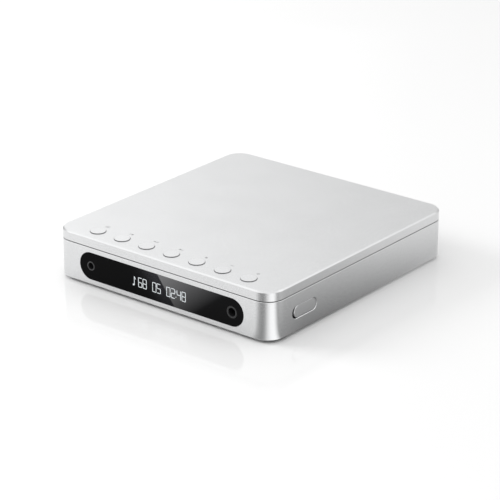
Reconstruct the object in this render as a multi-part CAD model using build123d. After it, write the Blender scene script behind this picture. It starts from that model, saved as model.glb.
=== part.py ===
from build123d import *
import math
import os
from collections import namedtuple

# Flat portable disc player with a hinged metal lid, in millimetres.
# Frame: origin under the middle of the player, on the surface it stands on, +X to the right of
# someone facing the front, +Y to the back, +Z up.

Screw = namedtuple("Screw", "head_radius head_height shank_radius length")

# ---------------------------------------------------------------- driving dimensions
# Case
body_width = 137.0
body_depth = 144.0
corner_radius = 9.3
wall = 1.6
floor_thickness = 1.4
foot_height = 1.2  # what the feet stand proud of the base
foot_radius = 6.0
foot_inset = 17.0  # from each side of the case to the middle of a foot
foot_sunk = 0.4
foot_edge = 0.5
base_height = 19.72  # underside of the base to its rim
base_bevel = 0.6
seam_gap = 0.36
seam_edge_break = 0.15
lid_height = 5.02
lid_wall = 1.5
lid_top_thickness = 1.2
lid_bevel = 0.65
boss_wall = 1.65

# Clearances
snug = 0.01  # round a screw's thread
slip = 0.1  # between pieces that drop into each other
running_gap = 0.03  # round a shaft, rod or pin
free_gap = 0.3  # between pieces that pass each other
flush_depth = 0.05  # how far a trim piece sits behind the face round it

# Screws
case_screw = Screw(1.9, 1.3, 1.0, 11.0)
case_screw_sink = 1.6
board_screw = Screw(1.7, 1.0, 0.8, 3.7)
damper_screw = Screw(2.2, 0.7, 0.8, 8.2)
liner_screw = Screw(1.55, 0.6, 0.8, 2.4)
key_board_screw = Screw(1.1, 0.4, 0.6, 1.8)
leaf_screw_base = Screw(1.3, 0.6, 0.7, 3.4)
leaf_screw_lid = Screw(1.3, 0.6, 0.7, 1.9)
striker_screw = Screw(1.5, 0.7, 0.8, 2.2)

# Front window, display and sockets
window_length = 104.3
window_height = 14.5
window_centre_height = 10.1  # above the underside of the base
window_thickness = 1.2
window_ledge = 1.0
window_gap = 0.08
front_pad_thickness = 0.8
display_width = 50.0
display_height = 10.8
display_thickness = 1.8
display_board_width = 62.0
display_board_thickness = 1.0
display_pin_count = 9
display_pin_pitch = 5.0
small_jack_bore = 1.8  # radius, takes a 3.5 mm plug
small_jack_ring = 2.4
rear_jack_ring = 2.9
large_jack_bore = 2.25  # radius, takes a 4.4 mm plug
large_jack_ring = 3.1
jack_gap = 0.08
jack_depth = 14.0
jack_back_wall = 1.0
jack_body_width = 8.0
jack_body_height = 6.0
jack_shoulder = 1.4  # inside the wall
usb_length = 8.9
usb_height = 3.2
usb_wall = 0.3
usb_depth = 6.0
usb_gap = 0.2

# Keys on the lid
key_names = ["mode", "previous", "play", "next", "stop", "volume_down", "volume_up"]
key_pitch = 15.95
key_radius = 4.0
key_gap = 0.15
key_from_front = 9.17
key_proud = 0.42
key_edge = 0.25
key_travel = 0.35
key_flange_width = 0.8
key_flange_thickness = 0.6
key_board_front = 4.8
key_board_back = 5.6
key_board_end = 7.0
key_switch_width = 4.0

# Opening slider on the right side
slot_length = 19.0
slot_height = 6.35
slot_from_front = 16.2
slot_centre_height = 9.9  # above the underside of the base
slot_edge_break = 0.2
knob_gap = 0.1
knob_sunk = 0.3
latch_travel = 1.65
latch_clearance = 0.25
latch_slide_thickness = 2.3
latch_slide_height = 8.0
latch_front_reach = 2.4
latch_back_reach = 2.0
latch_arm_thickness = 2.6
latch_nose_reach = 1.6
latch_nose_thickness = 0.8
latch_spring_length = 4.6
latch_spring_radius = 1.0
latch_spring_wire = 0.18
latch_spring_turns = 5
striker_inset = 5.4  # from the side of the case
striker_thickness = 1.7
striker_width = 2.0
striker_lip = 1.4
striker_plate_thickness = 1.0
striker_screw_offset = 7.2

# Disc bay and turntable
disc_radius = 60.0
disc_thickness = 1.2
disc_hole_radius = 7.5
bay_clearance = 2.0
bay_floor_thickness = 1.2
bay_wall = 1.2
notch_radius = 8.8
notch_overlap = 6.0
spindle_y = -1.0
deck_below_rim = 0.22
deck_thickness = 1.5
deck_gap = 0.15
deck_boss_split = 8.0  # height where base boss and deck boss meet
disc_below_deck = 3.1
disc_above_floor = 1.0
platter_radius = 14.5
platter_thickness = 1.0
mat_thickness = 0.2
mat_width = 4.2
hub_clearance = 0.1
hub_height = 2.2
hub_cap_height = 0.5
hub_cap_taper = 1.4
turntable_neck_radius = 3.6
ball_count = 3
first_ball_angle = 45.0
ball_radius = 0.75
ball_proud = 0.06
spindle_radius = 1.0

# Laser pickup and its drive
chassis_to_bay = 1.8
chassis_thickness = 2.0
chassis_left = -27.5
chassis_right = 38.5
chassis_front = -25.0
chassis_back = 69.0
damper_height = 1.5
damper_radius = 3.6
damper_neck_radius = 2.4
damper_cap = 0.7
spindle_motor_radius = 10.5
spindle_motor_height = 7.0
spindle_bearing_radius = 3.0
lens_inner_radius = 23.0
sled_travel = 34.5
sled_half_width = 12.4
sled_half_length = 8.0
sled_reach = 18.9
sled_bush_length = 4.0
sled_above_chassis = 1.0
lens_pocket_depth = 1.2
lens_pocket_half_width = 7.2
lens_pocket_half_length = 6.6
lens_holder_half_width = 5.6
lens_holder_half_length = 3.5
lens_float = 0.4
lens_holder_rise = 1.6  # above the sled's top
lens_radius = 2.17
lens_dome_radius = 4.0
lens_dome_rise = 0.5
magnet_thickness = 2.4
rod_radius = 1.0
rod_offset = 16.5
rod_drop = 1.8  # below the chassis
rod_support_thickness = 2.0
gear_module = 0.4
pinion_teeth = 12
wheel_teeth = 44
rack_module = 0.5
rack_pinion_teeth = 14
rack_teeth = 36
rack_teeth_ahead = 25
tooth_thinning = 0.07
gear_line_y = 13.0
gear_drop = 6.8  # underside of the wheel below the chassis
wheel_width = 1.6
motor_angle = -60.0
gear_axle_radius = 0.75
sled_motor_radius = 6.7
sled_motor_shaft = 0.5
rack_pitch_x = 21.0

# Hinge
hinge_barrel_radius = 1.6
hinge_pin_radius = 0.6
hinge_offset = 40.0
hinge_length = 14.0
hinge_knuckle = 4.0
hinge_gap = 0.2
hinge_relief = 0.25
hinge_end_gap = 0.3
leaf_thickness = 0.8
leaf_reach_base = 8.0
leaf_reach_lid = 11.5
leaf_screw_spread = 4.0
leaf_screw_back_base = 5.6
leaf_screw_back_lid = 8.9
groove_half_angle = 36.0

# Lid inside
liner_above_seam = 0.27
liner_thickness = 1.0
liner_gap = 0.2
hold_ring_radius = 12.6
hold_ring_wall = 1.4
hold_ring_height = 1.1
groove_radius = 52.0
groove_width = 1.2
groove_depth = 0.2
board_lift = 0.05
key_board_thickness = 0.8

# Boards, battery and rear row
board_thickness = 1.2
board_gap = 0.5
board_front = 4.6  # behind the front face
board_right = 12.5  # from the right side
battery_left = 40.0
battery_front = -30.0
battery_back = 57.0
battery_height = 8.3
battery_side_gap = 3.3
battery_edge = 1.5
lead_x = 50.0
lead_length = 4.5
lead_spread = 1.4
lead_radius = 0.6
connector_height = 3.2
line_out_x = -54.0
digital_out_x = -43.5
usb_x = -33.0
switch_x = 48.0
switch_travel = 2.0
switch_lever_half = 1.5
switch_grip_half = 1.2
switch_channel_half = 2.9

# ---------------------------------------------------------------- levels, from the ground up
half_width = body_width / 2
half_depth = body_depth / 2
inner_x = half_width - wall
inner_y = half_depth - wall
base_bottom = foot_height
floor_top = base_bottom + floor_thickness
base_top = base_bottom + base_height
seam_height = base_top + seam_gap / 2
lid_bottom = base_top + seam_gap
lid_top = lid_bottom + lid_height
lid_ceiling = lid_top - lid_top_thickness

window_z = base_bottom + window_centre_height
jack_x = (window_length - window_height) / 2
board_top = window_z - jack_body_height / 2
board_bottom = board_top - board_thickness
usb_z = board_top + usb_height / 2 + 0.1
display_front = -half_depth + window_thickness + flush_depth
display_back = display_front + display_thickness
switch_low = board_top + 1.0
switch_high = board_top + 3.0

deck_top = base_top - deck_below_rim
deck_bottom = deck_top - deck_thickness
disc_seat = deck_top - disc_below_deck
bay_floor_top = disc_seat - disc_above_floor
bay_floor_bottom = bay_floor_top - bay_floor_thickness
bay_radius = disc_radius + bay_clearance
chassis_top = bay_floor_bottom - chassis_to_bay
chassis_bottom = chassis_top - chassis_thickness
rod_z = chassis_bottom - rod_drop
sled_low = rod_z - 2 * rod_radius
sled_arm_top = chassis_bottom - free_gap
sled_top = chassis_top + sled_above_chassis
lens_pocket_floor = sled_top - lens_pocket_depth
lens_holder_top = sled_top + lens_holder_rise
wheel_bottom = chassis_bottom - gear_drop
wheel_top = wheel_bottom + wheel_width
ball_z = disc_seat + disc_thickness + 0.35
hub_radius = disc_hole_radius - hub_clearance
ball_angles = [first_ball_angle + 360 * i / ball_count for i in range(ball_count)]

liner_bottom = lid_bottom + liner_above_seam
liner_top = liner_bottom + liner_thickness
key_board_bottom = liner_top + board_lift
key_board_top = key_board_bottom + key_board_thickness
key_flange_top = lid_ceiling - slip
key_switch_top = key_flange_top - key_flange_thickness - key_travel - slip
striker_plate_bottom = liner_top + board_lift
striker_plate_top = striker_plate_bottom + striker_plate_thickness
nose_top = deck_bottom - 1.0
hook_top = nose_top - latch_nose_thickness - 0.2
hook_bottom = hook_top - 0.8

# ---------------------------------------------------------------- places, seen from above
corners = [(-1, -1), (-1, 1), (1, -1), (1, 1)]
foot_places = [(sx * (half_width - foot_inset), sy * (half_depth - foot_inset)) for sx, sy in corners]
deck_boss_places = [(sx * (half_width - 7.5), sy * (half_depth - 8.0)) for sx, sy in corners]
damper_places = [(x, y) for x in (chassis_left + 4.5, chassis_right - 4.5) for y in (-21.0, 63.5)]
switch_post = (switch_x + 5.0, inner_y - 7.9)
board_post_places = [(-60.0, -52.0), (-60.0, 42.0), (-30.0, 20.0), (-18.0, -36.0), (52.0, -44.0)]

key_y = -half_depth + key_from_front
key_places = [(i - (len(key_names) - 1) / 2) * key_pitch for i in range(len(key_names))]
key_board_screw_places = [(side * 1.5 * key_pitch, key_y) for side in (-1, 1)]
liner_boss_places = [(sx * (half_width - 6.5), sy * (half_depth - 20.0)) for sx, sy in corners]
liner_boss_places += [(side * (half_width - 6.5), 0.0) for side in (-1, 1)]
liner_boss_places += [(side * 20.0, half_depth - 10.0) for side in (-1, 1)]

slot_z = base_bottom + slot_centre_height
slot_front_y = -half_depth + slot_from_front
slot_back_y = slot_front_y + slot_length
knob_height = slot_height - 2 * knob_gap
knob_length = slot_length - 2 * knob_gap - latch_travel
knob_y = slot_back_y - knob_gap - knob_length / 2
slide_outer_x = inner_x - 0.2
slide_inner_x = slide_outer_x - latch_slide_thickness
slide_front_y = slot_front_y - latch_front_reach
slide_back_y = slot_back_y + latch_back_reach
abutment_y = slide_front_y - latch_spring_length
striker_x = half_width - striker_inset
striker_y = slot_back_y - 0.4
hook_tip_y = striker_y - striker_width / 2 - 0.2 - striker_lip
nose_tip_y = hook_tip_y - latch_clearance
nose_back_y = nose_tip_y - latch_nose_reach
arm_front_y = nose_back_y - latch_arm_thickness

lens_y = spindle_y + lens_inner_radius
sled_slot_front = lens_y - sled_half_length - 1.2
sled_slot_back = lens_y + sled_travel + sled_half_length + 1.0
rack_pinion_radius = rack_module * rack_pinion_teeth / 2
gear_x = rack_pitch_x + rack_pinion_radius
gear_distance = gear_module * (pinion_teeth + wheel_teeth) / 2
motor_x = gear_x + gear_distance * math.cos(math.radians(motor_angle))
motor_y = gear_line_y + gear_distance * math.sin(math.radians(motor_angle))

hinge_y = half_depth - hinge_barrel_radius
hinge_z = seam_height
hinge_cut_radius = hinge_barrel_radius + hinge_relief
hinge_reach = hinge_length / 2 + hinge_end_gap
lid_leaf_bottom = hinge_z + 0.8
lid_leaf_top = lid_leaf_bottom + leaf_thickness
leaf_end_y = hinge_y - hinge_barrel_radius - 0.35
hinge_sides = (-1, 1)
base_leaf_screws = [(side * hinge_offset + s * leaf_screw_spread, hinge_y - leaf_screw_back_base)
                    for side in hinge_sides for s in (-1, 1)]
lid_leaf_screws = [(side * hinge_offset + s * leaf_screw_spread, hinge_y - leaf_screw_back_lid)
                   for side in hinge_sides for s in (-1, 1)]

board_back_edge = battery_front - board_gap
board_inner_edge = chassis_left + 1.4
ribbon_end_x = board_inner_edge - 10.0
ribbon_low = board_top + 1.6
lead_front_y = battery_front - lead_length
battery_bottom = floor_top + board_gap


# ---------------------------------------------------------------- helpers
def block(x0, x1, y0, y1, z0, z1):
    """A box between two corners."""
    return Pos((x0 + x1) / 2, (y0 + y1) / 2, (z0 + z1) / 2) * Box(x1 - x0, y1 - y0, z1 - z0)


def chip(x, y, width, depth, z0, z1):
    """A box standing round a place."""
    return block(x - width / 2, x + width / 2, y - depth / 2, y + depth / 2, z0, z1)


def post(x, y, radius, z0, z1):
    """An upright cylinder."""
    return Pos(x, y, (z0 + z1) / 2) * Cylinder(radius, z1 - z0)


def rod_along_y(x, z, radius, y0, y1):
    """A cylinder lying front to back."""
    return Pos(x, (y0 + y1) / 2, z) * Rot(90, 0, 0) * Cylinder(radius, y1 - y0)


def rod_along_x(y, z, radius, x0, x1):
    """A cylinder lying left to right."""
    return Pos((x0 + x1) / 2, y, z) * Rot(0, 90, 0) * Cylinder(radius, x1 - x0)


def rounded_slab(inset, z0, z1):
    """The case's outline drawn in by inset, between two heights."""
    outline = RectangleRounded(body_width - 2 * inset, body_depth - 2 * inset, corner_radius - inset)
    return Pos(0, 0, z0) * extrude(outline, z1 - z0)


def slot_in_front(x, z, length, height, y0, y1):
    """A round-ended prism that runs front to back, long from left to right."""
    outline = Plane.XZ.offset(-y1) * Pos(x, z) * SlotOverall(length, height)
    return extrude(outline, y1 - y0)


def slot_in_side(y, z, length, height, x0, x1):
    """A round-ended prism that runs left to right, long from front to back."""
    outline = Plane.YZ.offset(x0) * Pos(y, z) * SlotOverall(length, height)
    return extrude(outline, x1 - x0)


def group(pieces):
    """Several separate solids in one node."""
    return Compound(children=[solid for piece in pieces for solid in piece.solids()])


def lowest(shape):
    return shape.faces().sort_by(Axis.Z)[0]


def highest(shape):
    return shape.faces().sort_by(Axis.Z)[-1]


def pan_screw(x, y, seat_z, screw, up=True):
    """A pan-head screw with a cross recess. Its head bears on seat_z, and up means that it points up."""
    head = post(0, 0, screw.head_radius, -screw.head_height, 0)
    head = chamfer(lowest(head).edges(), screw.head_height * 0.3)
    recess_depth = screw.head_height * 0.55
    for turn in (0, 90):
        bar = Rot(0, 0, turn) * Box(screw.head_radius * 1.1, screw.head_radius * 0.3, recess_depth)
        head -= Pos(0, 0, recess_depth / 2 - screw.head_height) * bar
    body = head + post(0, 0, screw.shank_radius, 0, screw.length)
    return Pos(x, y, seat_z) * (body if up else Rot(180, 0, 0) * body)


def flat_screw(x, y, face_z, screw, up=True):
    """A countersunk screw with a cross recess. Its head is flush with face_z."""
    head = Pos(0, 0, screw.head_height / 2) * Cone(screw.head_radius, screw.shank_radius, screw.head_height)
    body = head + post(0, 0, screw.shank_radius, screw.head_height, screw.head_height + screw.length)
    recess_depth = screw.head_height * 0.4
    for turn in (0, 90):
        bar = Rot(0, 0, turn) * Box(screw.head_radius * 1.1, screw.head_radius * 0.25, recess_depth)
        body -= Pos(0, 0, recess_depth / 2) * bar
    return Pos(x, y, face_z) * (body if up else Rot(180, 0, 0) * body)


def flat_screw_hole(x, y, face_z, screw, far_z, gap=0.02):
    """A countersunk hole for a flat screw, from its face to far_z."""
    rise = math.copysign(screw.head_height, far_z - face_z)
    wide, narrow = screw.head_radius + gap, screw.shank_radius + gap
    bottom, top = (wide, narrow) if rise > 0 else (narrow, wide)
    cone = Pos(x, y, face_z + rise / 2) * Cone(bottom, top, screw.head_height)
    return cone + post(x, y, narrow, *sorted((face_z, far_z)))


def polar(radius, angle):
    return (radius * math.cos(angle), radius * math.sin(angle))


def involute_turn(base_radius, radius):
    """How far an involute has turned from its start on the base circle when it reaches a radius."""
    roll = math.sqrt(max(radius / base_radius, 1.0) ** 2 - 1.0)
    return roll - math.atan(roll)


def gear(x, y, module, teeth, phase_deg, z0, z1):
    """A spur gear standing on its axis, with a tooth centred on phase_deg."""
    pressure = math.radians(20)
    pitch_radius = module * teeth / 2
    base_radius = pitch_radius * math.cos(pressure)
    tip_radius = pitch_radius + 0.9 * module
    root_radius = pitch_radius - 1.25 * module
    foot_of_flank = max(base_radius, root_radius)
    flank_radii = (foot_of_flank, (foot_of_flank + tip_radius) / 2, tip_radius)
    half_tooth = (math.pi * module / 2 - tooth_thinning) / (2 * pitch_radius) + math.tan(pressure) - pressure
    pitch_angle = 2 * math.pi / teeth
    edges = []
    for i in range(teeth):
        centre = math.radians(phase_deg) + i * pitch_angle
        spread = [half_tooth - involute_turn(base_radius, radius) for radius in flank_radii]
        rising = [polar(radius, centre - angle) for radius, angle in zip(flank_radii, spread)]
        falling = [polar(radius, centre + angle) for radius, angle in zip(flank_radii, spread)]
        falling.reverse()
        root_turns = (spread[0], pitch_angle / 2, pitch_angle - spread[0])
        root = [polar(root_radius, centre + angle) for angle in root_turns]
        edges.append(ThreePointArc(*rising))
        edges.append(ThreePointArc(rising[-1], polar(tip_radius, centre), falling[0]))
        edges.append(ThreePointArc(*falling))
        edges.append(ThreePointArc(*root))
        if foot_of_flank > root_radius:
            edges.append(Line(falling[-1], root[0]))
            edges.append(Line(root[-1], polar(foot_of_flank, centre + pitch_angle - spread[0])))
    return Pos(x, y, z0) * extrude(make_face(Wire(edges)), z1 - z0)


# ---------------------------------------------------------------- hinge clearances in both shells
def rear_groove():
    """The V that lets the lid's back edge swing down past the base."""
    reach = hinge_barrel_radius + 1.0
    rise = reach * math.tan(math.radians(groove_half_angle))
    half_gap = seam_gap / 2
    points = [
        (hinge_y, hinge_z - half_gap),
        (hinge_y + reach, hinge_z - half_gap - rise),
        (hinge_y + reach, hinge_z + half_gap + rise),
        (hinge_y, hinge_z + half_gap),
    ]
    outline = Plane.YZ.offset(-half_width) * make_face(Polyline(*points, close=True))
    return extrude(outline, body_width)


def cut_hinge_room(shell):
    """Takes the groove and the two barrels' round reliefs out of a shell."""
    shell -= rear_groove()
    reach = hinge_length / 2 + hinge_end_gap
    for side in hinge_sides:
        middle = side * hinge_offset
        shell -= rod_along_x(hinge_y, hinge_z, hinge_cut_radius, middle - reach, middle + reach)
    return shell


# ---------------------------------------------------------------- base
def base_shell():
    """Metal tray: outer walls, floor, screw bosses, posts and every opening in the walls."""
    body = rounded_slab(0, base_bottom, base_top)
    body = chamfer(lowest(body).edges(), base_bevel)
    body = chamfer(highest(body).edges(), seam_edge_break)
    body -= rounded_slab(wall, floor_top, base_top)
    pad_reach, pad_back = window_length / 2 + 3, front_pad_thickness - inner_y
    body += block(-pad_reach, pad_reach, -inner_y, pad_back, floor_top, deck_bottom - free_gap)
    damper_top = chassis_bottom - damper_height
    for x, y in deck_boss_places:
        body += post(x, y, case_screw.shank_radius + slip + boss_wall, floor_top, deck_boss_split)
    for x, y in damper_places:
        body += post(x, y, 2.6, floor_top, damper_top)
    for x, y in board_post_places + [switch_post]:
        body += post(x, y, 2.2, floor_top, board_bottom)
    body += latch_guides()
    for x, y in deck_boss_places:
        body -= post(x, y, case_screw.head_radius + 0.2, base_bottom, base_bottom + case_screw_sink)
        body -= post(x, y, case_screw.shank_radius + slip, base_bottom, deck_boss_split)
    for x, y in damper_places:
        body -= post(x, y, damper_screw.shank_radius + 2 * snug, floor_top + 1, damper_top)
    for x, y in board_post_places + [switch_post]:
        body -= post(x, y, board_screw.shank_radius + 2 * snug, floor_top + 0.5, board_bottom)
    for x, y in foot_places:
        body -= post(x, y, foot_radius + slip, base_bottom, base_bottom + foot_sunk)
    seat_back = -half_depth + window_thickness
    body -= slot_in_front(0, window_z, window_length, window_height, -half_depth, seat_back)
    body -= slot_in_front(0, window_z, window_length - 2 * window_ledge, window_height - 2 * window_ledge,
                          -half_depth, pad_back)
    body = cut_slider_slot(body)
    body = cut_rear_openings(body)
    return cut_hinge_room(body)



def cut_slider_slot(body):
    """Takes the opening slider's slot out of the right wall and breaks its outer edge."""
    middle = (slot_front_y + slot_back_y) / 2
    body -= slot_in_side(middle, slot_z, slot_length, slot_height, inner_x, half_width)
    near = 0.01
    rim = body.edges().filter_by(
        lambda edge: all(abs(corner.X - half_width) < near for corner in edge.vertices())
        and abs(edge.center().Z - slot_z) < slot_height / 2 + near
        and abs(edge.center().Y - middle) < slot_length / 2 + near)
    return chamfer(rim, slot_edge_break)


def cut_rear_openings(body):
    """Takes the rear sockets' and the switch's openings out of the back wall."""
    for x in (line_out_x, digital_out_x):
        body -= rod_along_y(x, window_z, rear_jack_ring + jack_gap, inner_y, half_depth)
    body -= slot_in_front(
        usb_x, usb_z, usb_length + 2 * usb_gap, usb_height + 2 * usb_gap, inner_y, half_depth)
    body -= block(switch_x - switch_channel_half, switch_x + switch_channel_half, inner_y, half_depth,
                  switch_low - slip, switch_high + slip)
    return body



def latch_guides():
    """Rails, inner stops and the spring's abutment for the latch slide."""
    rail_inner = slide_inner_x - 0.3
    wall_x = inner_x + 0.2
    rail_gap = latch_slide_height / 2 + 0.2
    rail_front, rail_back = slot_front_y - 4.0, slot_back_y + 4.0
    guides = block(rail_inner, wall_x, rail_front, rail_back, slot_z - rail_gap - 1, slot_z - rail_gap)
    guides += block(rail_inner, wall_x, rail_front, rail_back, slot_z + rail_gap, slot_z + rail_gap + 1)
    stop_outer = slide_inner_x - 0.2
    for y in (slot_front_y - 1.0, slot_back_y + 0.5):
        guides += block(stop_outer - 1.5, stop_outer, y, y + 3.0, floor_top, slot_z + 1)
    guides += block(slide_inner_x - 0.5, wall_x, abutment_y - 0.8, abutment_y, slot_z - 2, slot_z + 2)
    return guides


def rubber_feet():
    """Four round feet in shallow seats."""
    feet = [post(x, y, foot_radius, 0, base_bottom + foot_sunk) for x, y in foot_places]
    return group([fillet(lowest(foot).edges(), foot_edge) for foot in feet])


def base_screws():
    """Screws from below, through the base bosses into the deck bosses."""
    return group([pan_screw(x, y, base_bottom + case_screw_sink, case_screw) for x, y in deck_boss_places])


# ---------------------------------------------------------------- front window, display and sockets
def front_window():
    """Glossy dark lens in the front wall."""
    outer, inner = -half_depth + flush_depth, -half_depth + window_thickness
    lens = slot_in_front(
        0, window_z, window_length - 2 * window_gap, window_height - 2 * window_gap, outer, inner)
    for x, ring in ((-jack_x, small_jack_ring), (jack_x, large_jack_ring)):
        lens -= rod_along_y(x, window_z, ring + jack_gap, outer, inner)
    return lens


def display_panel():
    """The lit display's glass, behind the middle of the lens."""
    return block(-display_width / 2, display_width / 2, display_front, display_back,
                 window_z - display_height / 2, window_z + display_height / 2)


def display_board():
    """The upright board that carries the display, with its row of pins on the main board."""
    front = display_back + flush_depth
    back = front + display_board_thickness
    board = block(-display_board_width / 2, display_board_width / 2, front, back,
                  board_top + slip, window_z + display_height / 2 + 1.2)
    for i in range(display_pin_count):
        x = (i - (display_pin_count - 1) / 2) * display_pin_pitch
        board += block(x - 0.3, x + 0.3, back, back + 1.4, board_top, board_top + 0.6)
    return board


def jack(x, bore, ring, facing):
    """A round audio socket. Its ring reaches the outside at the front (-1) or the back (+1)."""
    face = facing * (half_depth - flush_depth)
    shoulder = facing * (inner_y - jack_shoulder)
    tail = facing * (half_depth - jack_depth)
    hole_end = tail + facing * jack_back_wall
    body = block(x - jack_body_width / 2, x + jack_body_width / 2, *sorted((shoulder, tail)),
                 window_z - jack_body_height / 2, window_z + jack_body_height / 2)
    body += rod_along_y(x, window_z, ring, *sorted((face, shoulder)))
    return body - rod_along_y(x, window_z, bore, *sorted((face, hole_end)))


def usb_socket():
    """Power and data receptacle on the main board, with its tongue."""
    inner_end = inner_y - usb_depth
    hollow_end = inner_end + 2 * usb_wall
    shell = slot_in_front(usb_x, usb_z, usb_length, usb_height, inner_end, half_depth - 0.1)
    shell -= slot_in_front(
        usb_x, usb_z, usb_length - 2 * usb_wall, usb_height - 2 * usb_wall, hollow_end, half_depth)
    tongue = block(usb_x - 3.3, usb_x + 3.3, hollow_end, half_depth - 1.2, usb_z - 0.35, usb_z + 0.35)
    foot_top = usb_z - usb_height / 2 + 0.2
    foot = block(usb_x - 4.2, usb_x + 4.2, inner_end + 0.4, inner_y - 1, board_top, foot_top)
    return shell + tongue + foot


# ---------------------------------------------------------------- boards and battery
def main_board():
    """L-shaped circuit board: front arm for display and sockets, left arm for the rear sockets."""
    board = block(-inner_x, half_width - board_right, board_front - half_depth, board_back_edge,
                  board_bottom, board_top)
    board += block(-inner_x, board_inner_edge, board_back_edge, inner_y, board_bottom, board_top)
    board &= rounded_slab(wall + board_gap, board_bottom, board_top)
    for x, y in deck_boss_places:
        board -= post(x, y, 3.3, board_bottom, board_top)
    for x, y in board_post_places:
        board -= post(x, y, board_screw.shank_radius + 0.2, board_bottom, board_top)
    return board


def main_board_parts():
    """Chips, coils, capacitors and connectors on the main board."""
    z = board_top
    chips = [(-46, -40, 9, 9, 1.0), (-30, -48, 6, 6, 0.9), (-8, -50, 10, 10, 1.2), (12, -42, 5, 6, 0.9),
             (28, -50, 7, 7, 1.0), (-52, 0, 8, 10, 1.2), (-38, 32, 6, 6, 0.9), (-52, 22, 5, 5, 0.9)]
    parts = [chip(x, y, width, depth, z, z + height) for x, y, width, depth, height in chips]
    for x, y in ((24, -36), (34, -38), (-40, -10), (-46, 52)):
        parts.append(fillet(chip(x, y, 5, 5, z, z + 2.2).edges().filter_by(Axis.Z), 1.0))
    for x, y in ((-32, -8), (-32, -15), (42, -48), (2, -60), (10, -60), (18, -60)):
        parts.append(post(x, y, 2.4, z, z + 5.2))
    parts.append(block(ribbon_end_x - 0.5, ribbon_end_x + 4.5, -2, 8, z, ribbon_low))
    parts.append(block(lead_x - 3.5, lead_x + 3.5, lead_front_y - 4, lead_front_y, z, z + connector_height))
    return group(parts)


def board_screws():
    """Small screws that hold the main board and the switch board to their posts."""
    places = board_post_places + [switch_post]
    return group([pan_screw(x, y, board_top, board_screw, up=False) for x, y in places])


def battery_pack():
    """Flat rechargeable cell in its sleeve."""
    cell = block(battery_left, half_width - battery_side_gap, battery_front, battery_back,
                 battery_bottom, battery_bottom + battery_height)
    return fillet(cell.edges().filter_by(Axis.Y), battery_edge)


def battery_pad():
    """Foam strip that sticks the cell to the floor."""
    return block(battery_left + 4, half_width - battery_side_gap - 4, battery_front + 6, battery_back - 6,
                 floor_top, battery_bottom)


def battery_leads():
    """Two short leads from the cell to the connector on the main board."""
    z = board_top + connector_height / 2
    return group([rod_along_y(lead_x + side * lead_spread, z, lead_radius, lead_front_y, battery_front)
                  for side in (-1, 1)])


def switch_board():
    """Small board for the rear slide switch."""
    x, y = switch_post
    board = block(switch_x - 7, switch_x + 8, y - 3, inner_y - 0.6, board_bottom, board_top)
    return board - post(x, y, board_screw.shank_radius + 0.2, board_bottom, board_top)


def mode_switch_body():
    """Slide switch frame, with a channel for its lever."""
    frame = block(switch_x - 4.2, switch_x + 4.2, inner_y - 3.6, inner_y - 0.2, board_top, board_top + 4.0)
    return frame - block(switch_x - switch_channel_half, switch_x + switch_channel_half,
                         inner_y - 2.0, inner_y, switch_low - slip, switch_high + slip)


def mode_switch_lever():
    """The slide switch's lever, which reaches the back face through its slot."""
    x = switch_x - switch_travel / 2
    lever = block(x - switch_lever_half, x + switch_lever_half, inner_y - 1.9, inner_y - free_gap,
                  switch_low, switch_high)
    return lever + block(x - switch_grip_half, x + switch_grip_half, inner_y - free_gap, half_depth - 0.1,
                         switch_low + slip, switch_high - slip)


# ---------------------------------------------------------------- deck and disc bay
def deck():
    """Dark moulded top of the base: disc bay, hub and pickup window, screw bosses and latch hole."""
    inset = wall + deck_gap
    body = rounded_slab(inset, deck_bottom, deck_top)
    body += post(0, spindle_y, bay_radius + bay_wall, bay_floor_bottom, deck_top)
    notches = [(side * (bay_radius - notch_overlap), spindle_y) for side in (-1, 1)]
    for x, y in notches:
        body += post(x, y, notch_radius + bay_wall, bay_floor_bottom, deck_top) & rounded_slab(
            inset, bay_floor_bottom, deck_top)
    for x, y in deck_boss_places:
        body += post(x, y, 2.5, deck_boss_split, deck_bottom)
    for x, y in base_leaf_screws:
        body += post(x, y, 1.9, deck_bottom - 3.4, deck_bottom)
    body -= post(0, spindle_y, bay_radius, bay_floor_top, deck_top)
    for x, y in notches:
        body -= post(x, y, notch_radius, bay_floor_top, deck_top)
    body -= pickup_window()
    for x, y in deck_boss_places:
        body -= post(x, y, case_screw.shank_radius + snug, deck_boss_split, deck_boss_split + 8.0)
    for side in hinge_sides:
        left, right = side * hinge_offset - hinge_reach, side * hinge_offset + hinge_reach
        leaf_front = hinge_y - leaf_reach_base - 0.2
        body -= block(left, right, leaf_front, inner_y, deck_top - leaf_thickness, deck_top)
        body -= block(left, right, hinge_y - hinge_cut_radius, inner_y, deck_bottom, deck_top)
    for x, y in base_leaf_screws:
        body -= post(x, y, leaf_screw_base.shank_radius + snug, deck_bottom - 3.2, deck_top)
    return body - block(striker_x - 1.6, striker_x + 1.6, nose_tip_y - 0.55, striker_y + 1.6,
                        deck_bottom, deck_top)



def pickup_window():
    """Keyhole through the bay floor: round at the hub, long over the pickup's travel."""
    side = sled_half_width + 0.8
    far_end = lens_y + sled_travel + lens_holder_half_length + 0.9
    return post(0, spindle_y, platter_radius + 1.8, bay_floor_bottom, bay_floor_top) + block(
        -side, side, spindle_y, far_end, bay_floor_bottom, bay_floor_top)


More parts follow.
